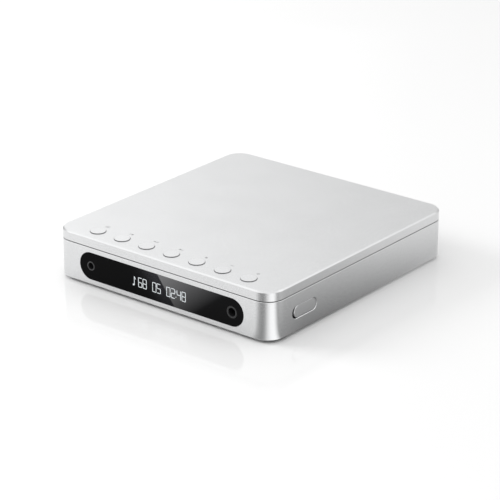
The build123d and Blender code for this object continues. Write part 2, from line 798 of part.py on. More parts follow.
# ---------------------------------------------------------------- disc mechanism
def mechanism_chassis():
    """Moulded plate that carries the spindle motor, the guide rods and the sled drive."""
    body = block(chassis_left, chassis_right, chassis_front, chassis_back, chassis_bottom, chassis_top)
    body = fillet(body.edges().filter_by(Axis.Z), 4.0)
    slot_side = sled_half_width + 1.0
    body -= block(-slot_side, slot_side, sled_slot_front, sled_slot_back, chassis_bottom, chassis_top)
    body -= post(0, spindle_y, spindle_bearing_radius + 0.2, chassis_bottom, chassis_top)
    for side in (-1, 1):
        near, far = sorted((side * (rod_offset - 2.5), side * (rod_offset + 1.9)))
        for y in (sled_slot_front - rod_support_thickness, sled_slot_back):
            body += block(near, far, y, y + rod_support_thickness, sled_low, chassis_bottom)
            body -= rod_along_y(side * rod_offset, rod_z, rod_radius + snug, y, y + rod_support_thickness)
    body -= post(gear_x, gear_line_y, gear_axle_radius, chassis_bottom, chassis_bottom + 1.6)
    for x, y in damper_places:
        body -= post(x, y, damper_neck_radius + 0.05, chassis_bottom, chassis_top)
    for x, y in ((-18, 6), (30, 40), (-18, 48)):
        body -= post(x, y, 2.0, chassis_bottom, chassis_top)
    return body


def mechanism_dampers():
    """Rubber grommets between the chassis and its posts."""
    low, high = chassis_bottom - damper_height, chassis_top + damper_cap
    dampers = []
    for x, y in damper_places:
        damper = post(x, y, damper_radius, low, chassis_bottom)
        damper += post(x, y, damper_neck_radius, chassis_bottom, chassis_top)
        damper += post(x, y, damper_radius - 0.3, chassis_top, high)
        dampers.append(damper - post(x, y, damper_screw.shank_radius + 0.05, low, high))
    return group(dampers)


def damper_screws():
    """Screws through the grommets into the posts."""
    seat = chassis_top + damper_cap
    return group([pan_screw(x, y, seat, damper_screw, up=False) for x, y in damper_places])


def spindle_motor():
    """Flat motor can under the chassis, with its bearing."""
    low, high = chassis_bottom - spindle_motor_height, chassis_top + 0.4
    can = post(0, spindle_y, spindle_motor_radius, low, chassis_bottom)
    can = fillet(lowest(can).edges(), 1.0)
    can += post(0, spindle_y, spindle_bearing_radius, chassis_bottom, high)
    return can - post(0, spindle_y, spindle_radius + running_gap, low + 0.8, high)


def spindle_shaft():
    """Motor shaft that carries the turntable."""
    return post(0, spindle_y, spindle_radius, chassis_bottom - spindle_motor_height + 0.9, disc_seat + 1.6)


def turntable():
    """Platter and centring hub for the disc, with pockets for its balls."""
    neck_bottom, platter_top = chassis_top + 0.8, disc_seat - mat_thickness
    platter_bottom, hub_top = platter_top - platter_thickness, disc_seat + hub_height
    body = post(0, spindle_y, turntable_neck_radius, neck_bottom, platter_bottom)
    body += post(0, spindle_y, platter_radius, platter_bottom, platter_top)
    body += post(0, spindle_y, hub_radius, platter_top, hub_top)
    body += Pos(0, spindle_y, hub_top + hub_cap_height / 2) * Cone(
        hub_radius, hub_radius - hub_cap_taper, hub_cap_height)
    body -= post(0, spindle_y, spindle_radius + snug, neck_bottom, disc_seat + 1.6)
    pocket_depth = 2 * ball_radius + 1.1
    for angle in ball_angles:
        pocket = Pos(hub_radius - pocket_depth / 2, 0, 0) * Rot(0, 90, 0) * Cylinder(
            ball_radius + running_gap, pocket_depth)
        body -= Pos(0, spindle_y, ball_z) * Rot(0, 0, angle) * pocket
    return body



def hub_balls():
    """Sprung balls that hold a disc on the hub."""
    reach = hub_radius + ball_proud - ball_radius
    return group([Pos(0, spindle_y, ball_z) * Rot(0, 0, angle) * Pos(reach, 0, 0) * Sphere(ball_radius)
                  for angle in ball_angles])


def turntable_mat():
    """Thin rubber ring the disc rests on."""
    outer = platter_radius - 0.3
    ring = post(0, spindle_y, outer, disc_seat - mat_thickness, disc_seat)
    return ring - post(0, spindle_y, outer - mat_width, disc_seat - mat_thickness, disc_seat)


def guide_rods():
    """The two steel rods the pickup slides on."""
    front, back = sled_slot_front - rod_support_thickness, sled_slot_back + rod_support_thickness
    return group([rod_along_y(side * rod_offset, rod_z, rod_radius, front, back) for side in (-1, 1)])


def pickup_body():
    """Cast sled with two bushes on one rod and an open fork on the other."""
    front, back = lens_y - sled_half_length, lens_y + sled_half_length
    body = block(-sled_half_width, sled_half_width, front, back, sled_low, sled_top)
    body += block(-sled_reach, sled_reach, front, back, sled_low, sled_arm_top)
    bore = rod_radius + running_gap
    body -= rod_along_y(-rod_offset, rod_z, bore, front, back)
    body -= block(-sled_reach, -sled_half_width - 0.6, front + sled_bush_length, back - sled_bush_length,
                  sled_low, sled_arm_top)
    body -= block(rod_offset - bore, sled_reach, front, back, rod_z - bore, rod_z + bore)
    body -= block(rod_offset - 2.5, sled_reach, lens_y - 3, lens_y + 3, sled_low, sled_arm_top)
    return body - block(-lens_pocket_half_width, lens_pocket_half_width, lens_y - lens_pocket_half_length,
                        lens_y + lens_pocket_half_length, lens_pocket_floor, sled_top)


def pickup_magnets():
    """The focus coil's two magnets."""
    distance = lens_holder_half_length + free_gap + magnet_thickness / 2
    return group([chip(0, lens_y + side * distance, 10, magnet_thickness, lens_pocket_floor, sled_top + 0.7)
                  for side in (-1, 1)])


def lens_holder():
    """Floating carrier of the lens."""
    bottom = lens_pocket_floor + lens_float
    body = chip(0, lens_y, 2 * lens_holder_half_width, 2 * lens_holder_half_length, bottom, lens_holder_top)
    body = fillet(body.edges().filter_by(Axis.Z), 1.2)
    return body - post(0, lens_y, lens_radius + running_gap, bottom, lens_holder_top)


def objective_lens():
    """Small domed lens."""
    lens = post(0, lens_y, lens_radius, lens_holder_top - 1.2, lens_holder_top)
    dome = Pos(0, lens_y, lens_holder_top + lens_dome_rise - lens_dome_radius) * Sphere(lens_dome_radius)
    return lens + (dome & post(0, lens_y, lens_radius - 0.27, lens_holder_top - 0.2, lens_holder_top + 1))


def sled_rack():
    """Toothed strip on the sled that the drive gear pushes."""
    bottom, top = rod_z, sled_arm_top - slip
    pitch = math.pi * rack_module
    tip, root = rack_pitch_x + 0.9 * rack_module, rack_pitch_x - 1.25 * rack_module
    half_tooth = (pitch / 2 - tooth_thinning) / 2
    slope = math.tan(math.radians(20))
    half_tip = half_tooth - (tip - rack_pitch_x) * slope
    half_root = half_tooth + (rack_pitch_x - root) * slope
    first = gear_line_y + pitch / 2 - rack_teeth_ahead * pitch
    front, back = first - pitch / 2, first + (rack_teeth - 0.5) * pitch
    points = [(sled_reach, front), (root, front)]
    for i in range(rack_teeth):
        y = first + i * pitch
        points += [(root, y - half_root), (tip, y - half_tip), (tip, y + half_tip), (root, y + half_root)]
    points += [(root, back), (sled_reach, back)]
    return Pos(0, 0, bottom) * extrude(make_face(Polyline(*points, close=True)), top - bottom)


def sled_motor():
    """Small motor can that drives the sled."""
    can = post(motor_x, motor_y, sled_motor_radius, wheel_top + 0.9, chassis_bottom)
    can = fillet(lowest(can).edges(), 0.6)
    return can - post(motor_x, motor_y, sled_motor_shaft + running_gap, wheel_top + 0.9, chassis_bottom)


def motor_pinion():
    """Pinion on the sled motor's shaft, with the shaft."""
    phase = motor_angle + 180 + 180 / pinion_teeth
    pinion = gear(motor_x, motor_y, gear_module, pinion_teeth, phase, wheel_bottom - 0.1, wheel_top + 0.2)
    return pinion + post(motor_x, motor_y, sled_motor_shaft, wheel_bottom - 0.3, chassis_bottom - 0.4)


def drive_gear():
    """Two-step gear: the wheel meets the pinion, and the long pinion meets the rack."""
    body = gear(gear_x, gear_line_y, gear_module, wheel_teeth, motor_angle, wheel_bottom, wheel_top)
    body += gear(gear_x, gear_line_y, rack_module, rack_pinion_teeth, 180, wheel_top, sled_arm_top)
    return body - post(gear_x, gear_line_y, gear_axle_radius + running_gap, wheel_bottom, sled_arm_top)


def gear_axle():
    """Fixed pin of the two-step gear, with its retaining ring."""
    pin = post(gear_x, gear_line_y, gear_axle_radius, wheel_bottom - 0.6, chassis_bottom + 1.6)
    return pin + post(gear_x, gear_line_y, 1.7, wheel_bottom - 0.5, wheel_bottom - 0.2)


def mechanism_ribbon():
    """Flat ribbon from the chassis down to its connector on the main board, level at both ends."""
    thick = 0.2
    top, low = chassis_top + flush_depth, ribbon_low
    near, edge, foot = chassis_left + 2.5, chassis_left - 1.6, chassis_left - 4.4
    upper = [(near, top + thick), (edge, top + thick), (foot, low + thick), (ribbon_end_x, low + thick)]
    under = [(ribbon_end_x, low), (foot + 0.1, low), (edge + 0.1, top), (near, top)]
    outline = Plane.XZ.offset(1.0) * make_face(Polyline(*upper, *under, close=True))
    return extrude(outline, -9.0)


# ---------------------------------------------------------------- latch
def opening_knob():
    """Round-ended slider that shows in the side slot."""
    knob = slot_in_side(knob_y, slot_z, knob_length, knob_height, slide_outer_x, half_width - knob_sunk)
    return chamfer(knob.faces().sort_by(Axis.X)[-1].edges(), 0.2)


def latch_slide():
    """Carriage behind the knob, with the upright catch that holds the lid's hook."""
    half = latch_slide_height / 2
    catch_inner, catch_outer = striker_x - 1.0, striker_x - 1.0 + striker_thickness
    arm_bottom = slot_z + 1.8
    body = block(slide_inner_x, slide_outer_x, slide_front_y, slide_back_y, slot_z - half, slot_z + half)
    body += block(catch_inner, slide_inner_x, arm_front_y, nose_back_y, arm_bottom, slot_z + half - 0.1)
    body += block(catch_inner, catch_outer, arm_front_y, nose_back_y, arm_bottom, nose_top)
    nose_bottom = nose_top - latch_nose_thickness
    return body + block(catch_inner, catch_outer, nose_back_y, nose_tip_y, nose_bottom, nose_top)


def latch_spring():
    """Return spring between its abutment and the front end of the latch slide."""
    rise = latch_spring_length - 4 * latch_spring_wire
    path = Helix(pitch=rise / latch_spring_turns, height=rise, radius=latch_spring_radius)
    coil = sweep(Plane(origin=path @ 0, z_dir=path % 0) * Circle(latch_spring_wire), path=path)
    middle_x = (slide_inner_x + slide_outer_x) / 2
    return Pos(middle_x, abutment_y + 2 * latch_spring_wire, slot_z) * Rot(-90, 0, 0) * coil


def lid_striker():
    """Hook under the lid that drops through the deck to the latch."""
    inner, outer = striker_x - 1.0, striker_x - 1.0 + striker_thickness
    tongue_front, tongue_back = striker_y - striker_width / 2 - 0.2, striker_y + striker_width / 2 - 0.2
    body = block(striker_x - 1.9, striker_x + 1.9, hook_tip_y, striker_y + 10,
                 striker_plate_bottom, striker_plate_top)
    body += block(inner, outer, tongue_front, tongue_back, hook_bottom, striker_plate_bottom)
    body += block(inner, outer, hook_tip_y, tongue_front, hook_bottom, hook_top)
    return body - post(striker_x, striker_y + striker_screw_offset, striker_screw.shank_radius + 0.05,
                       striker_plate_bottom, striker_plate_top)


# ---------------------------------------------------------------- hinge
def knuckle(leaf, x0, x1, neck_bottom, neck_top):
    """A leaf with a barrel added over one stretch, joined to it by a neck."""
    bore = hinge_pin_radius + running_gap
    leaf += block(x0, x1, leaf_end_y, hinge_y - hinge_barrel_radius + 0.6, neck_bottom, neck_top)
    leaf += rod_along_x(hinge_y, hinge_z, hinge_barrel_radius, x0, x1)
    return leaf - rod_along_x(hinge_y, hinge_z, bore, x0, x1)


def hinge_base_leaves():
    """Two leaves screwed to the deck, each with an outer pair of knuckles."""
    bottom = deck_top - leaf_thickness
    leaves = []
    for side in hinge_sides:
        left, right = side * hinge_offset - hinge_length / 2, side * hinge_offset + hinge_length / 2
        leaf = block(left, right, hinge_y - leaf_reach_base, leaf_end_y, bottom, deck_top)
        for x0, x1 in ((left, left + hinge_knuckle), (right - hinge_knuckle, right)):
            leaf = knuckle(leaf, x0, x1, bottom, deck_top)
        for x, y in base_leaf_screws:
            leaf -= flat_screw_hole(x, y, deck_top, leaf_screw_base, bottom)
        leaves.append(leaf)
    return group(leaves)


def hinge_lid_leaves():
    """Two leaves screwed under the lid, each with a middle knuckle."""
    leaves = []
    for side in hinge_sides:
        left, right = side * hinge_offset - hinge_length / 2, side * hinge_offset + hinge_length / 2
        leaf = block(left, right, hinge_y - leaf_reach_lid, leaf_end_y, lid_leaf_bottom, lid_leaf_top)
        leaf = knuckle(leaf, left + hinge_knuckle + hinge_gap, right - hinge_knuckle - hinge_gap,
                       lid_leaf_bottom, lid_leaf_top - 0.1)
        for x, y in lid_leaf_screws:
            leaf -= flat_screw_hole(x, y, lid_leaf_bottom, leaf_screw_lid, lid_leaf_top)
        leaves.append(leaf)
    return group(leaves)



def hinge_pins():
    """Steel pins through the knuckles."""
    return group([rod_along_x(hinge_y, hinge_z, hinge_pin_radius, side * hinge_offset - hinge_length / 2,
                              side * hinge_offset + hinge_length / 2) for side in hinge_sides])


def hinge_base_screws():
    """Screws of the lower leaves, into the deck."""
    return group([flat_screw(x, y, deck_top, leaf_screw_base, up=False) for x, y in base_leaf_screws])


def hinge_lid_screws():
    """Screws of the upper leaves, into the lid's bosses."""
    return group([flat_screw(x, y, lid_leaf_bottom, leaf_screw_lid) for x, y in lid_leaf_screws])


# ---------------------------------------------------------------- lid
def lid_shell():
    """Metal lid: one plate with a turned-down rim, screw bosses and seven key holes."""
    body = rounded_slab(0, lid_bottom, lid_top)
    body = chamfer(highest(body).edges(), lid_bevel)
    body = chamfer(lowest(body).edges(), seam_edge_break)
    body -= rounded_slab(lid_wall, lid_bottom, lid_ceiling)
    bosses = [(x, y, 2.3, liner_top, liner_screw) for x, y in liner_boss_places]
    bosses += [(x, y, 1.8, key_board_top, key_board_screw) for x, y in key_board_screw_places]
    bosses += [(x, y, 2.2, lid_leaf_top, leaf_screw_lid) for x, y in lid_leaf_screws]
    bosses.append((striker_x, striker_y + striker_screw_offset, 2.0, striker_plate_top, striker_screw))
    for x, y, radius, bottom, screw in bosses:
        body += post(x, y, radius, bottom, lid_ceiling)
        body -= post(x, y, screw.shank_radius + snug, bottom, lid_ceiling)
    for x in key_places:
        body -= post(x, key_y, key_radius + key_gap, lid_ceiling, lid_top)
    return cut_hinge_room(body)


def lid_liner():
    """Dark moulded cover inside the lid, with a ring that stops a disc from lifting."""
    body = rounded_slab(lid_wall + liner_gap, liner_bottom, liner_top)
    body -= block(-half_width, half_width, hinge_y - 2.6, half_depth, liner_bottom, liner_top)
    ring_bottom = liner_bottom - hold_ring_height
    body += post(0, spindle_y, hold_ring_radius, ring_bottom, liner_bottom) - post(
        0, spindle_y, hold_ring_radius - hold_ring_wall, ring_bottom, liner_bottom)
    groove_top = liner_bottom + groove_depth
    body -= post(0, spindle_y, groove_radius, liner_bottom, groove_top) - post(
        0, spindle_y, groove_radius - groove_width, liner_bottom, groove_top)
    for side in hinge_sides:
        reach = hinge_reach + slip
        x, leaf_front = side * hinge_offset, hinge_y - leaf_reach_lid - 0.5
        body -= block(x - reach, x + reach, leaf_front, half_depth, liner_bottom, liner_top)
    body -= block(striker_x - 2.3, half_width, hook_tip_y - 0.6, striker_y + 10.5, liner_bottom, liner_top)
    for x, y in liner_boss_places:
        body -= flat_screw_hole(x, y, liner_bottom, liner_screw, liner_top, 0.08)
    return body


def lid_screws():
    """Countersunk screws of the liner and key board, and the striker's pan-head screw."""
    screws = [flat_screw(x, y, liner_bottom, liner_screw) for x, y in liner_boss_places]
    screws += [flat_screw(x, y, key_board_bottom, key_board_screw) for x, y in key_board_screw_places]
    screws.append(pan_screw(striker_x, striker_y + striker_screw_offset, striker_plate_bottom, striker_screw))
    return group(screws)


def key_board():
    """Long narrow circuit board under the keys."""
    reach = key_places[-1] + key_board_end
    front, back = key_y - key_board_front, key_y + key_board_back
    body = block(-reach, reach, front, back, key_board_bottom, key_board_top)
    for x, y in key_board_screw_places:
        body -= flat_screw_hole(x, y, key_board_bottom, key_board_screw, key_board_top)
    return body


def key_switches():
    """One low push switch under each key."""
    return group([chip(x, key_y, key_switch_width, key_switch_width, key_board_top, key_switch_top)
                  for x in key_places])


def key_cap(x):
    """One round key with the flange that keeps it in its hole."""
    cap = post(x, key_y, key_radius, key_flange_top, lid_top + key_proud)
    cap = fillet(highest(cap).edges(), key_edge)
    flange_bottom = key_flange_top - key_flange_thickness
    return cap + post(x, key_y, key_radius + key_flange_width, flange_bottom, key_flange_top)


# ---------------------------------------------------------------- every node, written to its own file
nodes = {
    "headphone_jack_small": jack(-jack_x, small_jack_bore, small_jack_ring, -1),
    "headphone_jack_balanced": jack(jack_x, large_jack_bore, large_jack_ring, -1),
    "rear_jacks": group([jack(x, small_jack_bore, rear_jack_ring, 1) for x in (line_out_x, digital_out_x)]),
}
builders = [
    base_shell, rubber_feet, base_screws, front_window, display_panel, display_board, usb_socket,
    main_board, main_board_parts, board_screws, battery_pack, battery_pad, battery_leads, switch_board,
    mode_switch_body, mode_switch_lever, deck, mechanism_chassis, mechanism_dampers, damper_screws,
    mechanism_ribbon, spindle_motor, spindle_shaft, turntable, turntable_mat, hub_balls, guide_rods,
    pickup_body, pickup_magnets, sled_rack, lens_holder, objective_lens, sled_motor, motor_pinion,
    drive_gear, gear_axle, opening_knob, latch_slide, latch_spring, lid_striker, hinge_base_leaves,
    hinge_lid_leaves, hinge_pins, hinge_base_screws, hinge_lid_screws, lid_shell, lid_liner, lid_screws,
    key_board, key_switches,
]
for builder in builders:
    nodes[builder.__name__] = builder()
for key_name, key_x in zip(key_names, key_places):
    nodes["key_" + key_name] = key_cap(key_x)

os.makedirs("parts", exist_ok=True)
for node_name, shape in nodes.items():
    export_step(shape, f"parts/{node_name}.step")
print(len(nodes), "nodes written")
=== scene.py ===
# %% [markdown]
# # A flat portable disc player in satin aluminium
# The player is a low metal box with rounded corners. Its lid is a second metal plate that hinges at
# the back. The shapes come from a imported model, which is loaded first and never moved. This file
# gives every piece its finish, adds the small details that the model leaves out, and sets up a pale
# studio round it. All lengths are in metres, with +X to the right, +Y to the back and +Z up.

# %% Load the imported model
import math

import bmesh
import bpy
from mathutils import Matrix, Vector


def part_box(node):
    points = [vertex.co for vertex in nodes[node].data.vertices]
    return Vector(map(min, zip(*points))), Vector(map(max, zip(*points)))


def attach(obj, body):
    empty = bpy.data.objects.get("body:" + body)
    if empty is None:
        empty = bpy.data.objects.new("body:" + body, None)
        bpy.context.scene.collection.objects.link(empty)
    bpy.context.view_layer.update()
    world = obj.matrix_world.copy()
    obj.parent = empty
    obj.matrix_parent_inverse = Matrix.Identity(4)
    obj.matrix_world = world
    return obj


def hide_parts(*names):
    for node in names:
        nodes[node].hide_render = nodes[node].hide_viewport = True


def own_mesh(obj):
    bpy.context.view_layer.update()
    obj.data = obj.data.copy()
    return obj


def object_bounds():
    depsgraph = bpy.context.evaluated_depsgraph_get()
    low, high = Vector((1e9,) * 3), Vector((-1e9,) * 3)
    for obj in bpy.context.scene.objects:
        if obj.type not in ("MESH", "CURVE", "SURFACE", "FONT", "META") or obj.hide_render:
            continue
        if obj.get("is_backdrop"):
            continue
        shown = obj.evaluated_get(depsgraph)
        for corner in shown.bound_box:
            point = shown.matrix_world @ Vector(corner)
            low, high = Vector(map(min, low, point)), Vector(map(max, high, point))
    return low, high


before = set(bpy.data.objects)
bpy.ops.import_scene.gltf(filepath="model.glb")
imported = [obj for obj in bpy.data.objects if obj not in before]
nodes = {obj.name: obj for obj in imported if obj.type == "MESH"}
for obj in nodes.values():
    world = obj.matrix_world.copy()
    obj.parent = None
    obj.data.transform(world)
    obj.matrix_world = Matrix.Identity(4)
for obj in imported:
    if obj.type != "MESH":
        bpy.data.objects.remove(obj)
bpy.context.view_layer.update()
MM = 0.001
MICRON = 1e-6


def add_object(name, data):
    """Puts a mesh, a light or a camera into the scene under a name."""
    obj = bpy.data.objects.new(name, data)
    bpy.context.scene.collection.objects.link(obj)
    return obj


# %% [markdown]
# ## The camera
# A long lens from far away keeps the player's edges nearly parallel, so its shape reads clearly. It
# stands at the front right corner and looks down a little more than twenty degrees. A camera can be
# aimed by a constraint, but here its place, turn and tilt are plain numbers, which are easy to change.

# %% Camera
CAMERA_PLACE = (0.6441, -0.8051, 0.43245)
CAMERA_TURN = math.radians(38.74)
CAMERA_TILT = math.radians(22.36)
LENS_LENGTH, SENSOR_WIDTH = 158.44, 36.0

camera_data = bpy.data.cameras.new("long_lens")
camera_data.sensor_width = SENSOR_WIDTH
camera_data.lens = LENS_LENGTH
camera_data.clip_start = 0.05
camera_data.clip_end = 20.0
camera = add_object("long_lens", camera_data)
camera.location = CAMERA_PLACE
camera.rotation_euler = (math.radians(90) - CAMERA_TILT, 0.0, CAMERA_TURN)
bpy.context.scene.camera = camera
print("camera", round(Vector(CAMERA_PLACE).length, 3), "m from the player")

# %% [markdown]
# ## A small kit for finishes
# Every finish starts from the same Principled shader. Fine texture, such as blasting or moulding
# grain, is a noise that bends the surface's normals and shifts its roughness a little. The noise
# reads Object coordinates, which are metres here, so a scale of 4000 gives grains of a quarter of a
# millimetre wherever the finish is used.

# %% One shader
def new_finish(name, colour, metallic=0.0, roughness=0.5, ior=1.5, specular=0.5):
    """A material with one Principled shader, its constants on its own sockets."""
    material = bpy.data.materials.new(name)
    material.use_nodes = True
    shader = material.node_tree.nodes["Principled BSDF"]
    shader.inputs["Base Color"].default_value = (*colour, 1.0)
    shader.inputs["Metallic"].default_value = metallic
    shader.inputs["Roughness"].default_value = roughness
    shader.inputs["IOR"].default_value = ior
    shader.inputs["Specular IOR Level"].default_value = specular
    return material, shader


def node_in(material, kind, **settings):
    """Adds a node to a material and sets its properties."""
    node = material.node_tree.nodes.new(kind)
    for key, value in settings.items():
        setattr(node, key, value)
    return node


def set_stops(ramp, stops):
    """Sets a colour ramp to stops of (position, colour)."""
    ends = ramp.color_ramp.elements
    while len(ends) < len(stops):
        ends.new(0.5)
    for end, (position, colour) in zip(ends, stops):
        end.position = position
        end.color = (*colour, 1.0)


def grey(brightness):
    """A colour with no hue."""
    return (brightness, brightness, brightness)


# %% [markdown]
# Grain and mottle are both noises. Grain is fine and only bends the light. Mottle is slow and
# shifts the colour between two close tones, which keeps a large plain surface from looking like a
# fill. Pictures of real surfaces could do both, but a noise has no seams and no limit to its
# sharpness.

# %% Grain and mottle
NOISE_USUAL = (0.3, 0.7)
MOTTLE_STOPS = (0.35, 0.65)


def noise_in(material, scale, detail=2.0, stretch=(1, 1, 1)):
    """A noise on Object coordinates, with its pattern drawn out along an axis if asked."""
    link = material.node_tree.links.new
    place = node_in(material, "ShaderNodeTexCoord")
    mapping = node_in(material, "ShaderNodeMapping")
    mapping.inputs["Scale"].default_value = stretch
    noise = node_in(material, "ShaderNodeTexNoise")
    noise.inputs["Scale"].default_value = scale
    noise.inputs["Detail"].default_value = detail
    link(place.outputs["Object"], mapping.inputs["Vector"])
    link(mapping.outputs["Vector"], noise.inputs["Vector"])
    return noise


def add_grain(material, shader, scale, depth_um, roughness_range, stretch=(1, 1, 1)):
    """Grain: a bump of a few micrometres, and roughness that follows it."""
    link = material.node_tree.links.new
    noise = noise_in(material, scale, 3.0, stretch)
    bump = node_in(material, "ShaderNodeBump")
    bump.inputs["Distance"].default_value = depth_um * MICRON
    bump.inputs["Strength"].default_value = 1.0
    spread = node_in(material, "ShaderNodeMapRange")
    spread.inputs["From Min"].default_value, spread.inputs["From Max"].default_value = NOISE_USUAL
    spread.inputs["To Min"].default_value, spread.inputs["To Max"].default_value = roughness_range
    link(noise.outputs["Fac"], bump.inputs["Height"])
    link(noise.outputs["Fac"], spread.inputs["Value"])
    link(bump.outputs["Normal"], shader.inputs["Normal"])
    link(spread.outputs["Result"], shader.inputs["Roughness"])


def add_mottle(material, shader, scale, dark, light, stretch=(1, 1, 1)):
    """Slow colour variation between two close tones."""
    link = material.node_tree.links.new
    noise = noise_in(material, scale, 2.0, stretch)
    ramp = node_in(material, "ShaderNodeValToRGB")
    set_stops(ramp, list(zip(MOTTLE_STOPS, (dark, light))))
    link(noise.outputs["Fac"], ramp.inputs["Fac"])
    link(ramp.outputs["Color"], shader.inputs["Base Color"])


def tone(colour, factor):
    """A colour made darker or lighter."""
    return tuple(min(1.0, channel * factor) for channel in colour)


# %% [markdown]
# With those two, a finish is one line: a colour, how metallic it is, the scale and depth of its grain,
# the range of its roughness, and the strength and scale of its mottle.

# %% A finish in one line
finishes = {}


def make_finish(name, colour, metallic, grain_scale, grain_um, roughness, mottle=0.04, mottle_scale=60,
                stretch=(1, 1, 1), ior=1.5, specular=0.5):
    """One finish from its colour, its grain and how much it varies."""
    low, high = roughness
    material, shader = new_finish(name, colour, metallic, (low + high) / 2, ior, specular)
    add_mottle(material, shader, mottle_scale, tone(colour, 1 - mottle), tone(colour, 1 + mottle))
    add_grain(material, shader, grain_scale, grain_um, (low, high), stretch)
    finishes[name] = material
    return material, shader


# %% [markdown]
# ## Metals
# The case is aluminium that was blasted with fine beads and then anodised. Blasting leaves a satin
# skin: metallic, with a broad soft gloss and a grain that shows only close up. The keys and the
# side slider are the same metal but a shade brighter. Inside are plain steels, brass and a cast
# pickup. The grain could be modelled, but at a few micrometres deep a bump is enough. Each line
# gives colour, metallic, grain scale, grain depth in micrometres, roughness range, mottle and
# mottle scale.

# %% Metal finishes
ALUMINIUM = (0.735, 0.740, 0.745)
make_finish("blasted_aluminium", ALUMINIUM, 1.0, 5200, 1.2, (0.22, 0.30), 0.012, 45)
make_finish("key_aluminium", tone(ALUMINIUM, 1.01), 1.0, 6000, 1.3, (0.25, 0.33), 0.01, 90)
make_finish("slider_aluminium", tone(ALUMINIUM, 1.02), 1.0, 6500, 1.2, (0.26, 0.34), 0.01, 90)
make_finish("plated_steel", (0.62, 0.61, 0.59), 1.0, 2600, 2.0, (0.22, 0.34), 0.05, 300)
make_finish("black_steel", (0.045, 0.045, 0.048), 1.0, 3000, 2.0, (0.34, 0.48), 0.10, 400)
make_finish("ground_rod", (0.70, 0.70, 0.70), 1.0, 900, 0.8, (0.12, 0.20), 0.02, 200, stretch=(1, 12, 1))
make_finish("motor_can", (0.56, 0.56, 0.55), 1.0, 2200, 2.5, (0.26, 0.38), 0.04, 150)
make_finish("cast_zinc", (0.40, 0.40, 0.41), 1.0, 1800, 9.0, (0.40, 0.58), 0.08, 220)
make_finish("turned_brass", (0.78, 0.60, 0.30), 1.0, 3000, 1.5, (0.20, 0.32), 0.04, 300)
make_finish("gold_contact", (0.90, 0.68, 0.30), 1.0, 4000, 1.0, (0.18, 0.28), 0.03, 500)
print(len(finishes), "metals")

# %% [markdown]
# The side of a key is turned, not blasted. The narrow ring of shade round the key is painted onto it as
# painted shade, so the key's finish gets darker below its bright top edge. A second material on the side
# faces would do it too, but the imported meshes are left alone, so the painted shade follows the height
# of the surface.

# %% Painted shade on key sides
# below this height the key's side gets painted shade, darkened by this factor
KEY_EDGE_HEIGHT, KEY_SIDE_SHADE_FACTOR = 26.60, 0.30
EDGE_SOFTNESS = 0.03
# a Mix node set to colours has its factor, its two colours and its result at these sockets
MIX_FACTOR, MIX_A, MIX_B, MIX_RESULT = 0, 6, 7, 2


def paint_shade_below(material, shader, height, factor):
    """Paints shade: multiplies the colour by a factor below a height in mm."""
    link = material.node_tree.links.new
    colour = shader.inputs["Base Color"].links[0].from_socket
    place, split = node_in(material, "ShaderNodeTexCoord"), node_in(material, "ShaderNodeSeparateXYZ")
    rise, mix = node_in(material, "ShaderNodeMapRange"), node_in(material, "ShaderNodeMix")
    rise.inputs["From Min"].default_value = (height - EDGE_SOFTNESS) * MM
    rise.inputs["From Max"].default_value = (height + EDGE_SOFTNESS) * MM
    mix.data_type = "RGBA"
    shade = node_in(material, "ShaderNodeMix")
    shade.data_type = "RGBA"
    shade.blend_type = "MULTIPLY"
    shade.inputs[MIX_FACTOR].default_value = 1.0
    shade.inputs[MIX_B].default_value = (*grey(factor), 1.0)
    link(place.outputs["Object"], split.inputs["Vector"])
    link(split.outputs["Z"], rise.inputs["Value"])
    link(colour, shade.inputs[MIX_A])
    link(rise.outputs["Result"], mix.inputs[MIX_FACTOR])
    link(shade.outputs[MIX_RESULT], mix.inputs[MIX_A])
    link(colour, mix.inputs[MIX_B])
    link(mix.outputs[MIX_RESULT], shader.inputs["Base Color"])


key_material = finishes["key_aluminium"]
key_shader = key_material.node_tree.nodes["Principled BSDF"]
# painted shade on the key sides, below their top edge
paint_shade_below(key_material, key_shader, KEY_EDGE_HEIGHT, KEY_SIDE_SHADE_FACTOR)
print("key sides darker below", KEY_EDGE_HEIGHT, "mm")

# %% [markdown]
# ## Plastics, rubber and boards
# The inside of the player is dark moulded plastic with a spark-eroded grain, which scatters light
# so that the disc bay looks dull beside the metal. Rubber is darker and duller still. They are
# made the same way as the metals, with less gloss and a deeper grain, so one helper serves both.

# %% Plastic finishes
make_finish("moulded_black", (0.028, 0.028, 0.030), 0.0, 2600, 14.0, (0.46, 0.62), 0.10, 120)
make_finish("moulded_grey", (0.10, 0.10, 0.105), 0.0, 2400, 12.0, (0.48, 0.62), 0.08, 120)
make_finish("rubber", (0.020, 0.020, 0.021), 0.0, 1800, 10.0, (0.70, 0.86), 0.12, 200)
make_finish("socket_grey", (0.115, 0.112, 0.108), 0.0, 3000, 4.0, (0.32, 0.44), 0.06, 300)
make_finish("collar_satin", (0.058, 0.058, 0.060), 0.5, 3000, 2.0, (0.34, 0.46), 0.05, 300)
make_finish("collar_dark", (0.014, 0.014, 0.015), 0.2, 3000, 2.0, (0.34, 0.46), 0.05, 300)
make_finish("socket_black", (0.016, 0.016, 0.017), 0.0, 3000, 4.0, (0.24, 0.36), 0.08, 300)
make_finish("white_nylon", (0.78, 0.77, 0.72), 0.0, 2200, 5.0, (0.34, 0.46), 0.03, 180)
make_finish("chip_epoxy", (0.022, 0.022, 0.024), 0.0, 3600, 6.0, (0.50, 0.66), 0.12, 300)
make_finish("cell_sleeve", (0.030, 0.085, 0.200), 0.0, 500, 12.0, (0.24, 0.38), 0.06, 60)
make_finish("lead_red", (0.45, 0.020, 0.018), 0.0, 1500, 6.0, (0.36, 0.48), 0.05, 200)
make_finish("ribbon_amber", (0.42, 0.17, 0.030), 0.0, 700, 4.0, (0.22, 0.34), 0.10, 250)
make_finish("foam", (0.05, 0.05, 0.05), 0.0, 900, 60.0, (0.85, 0.95), 0.2, 500)
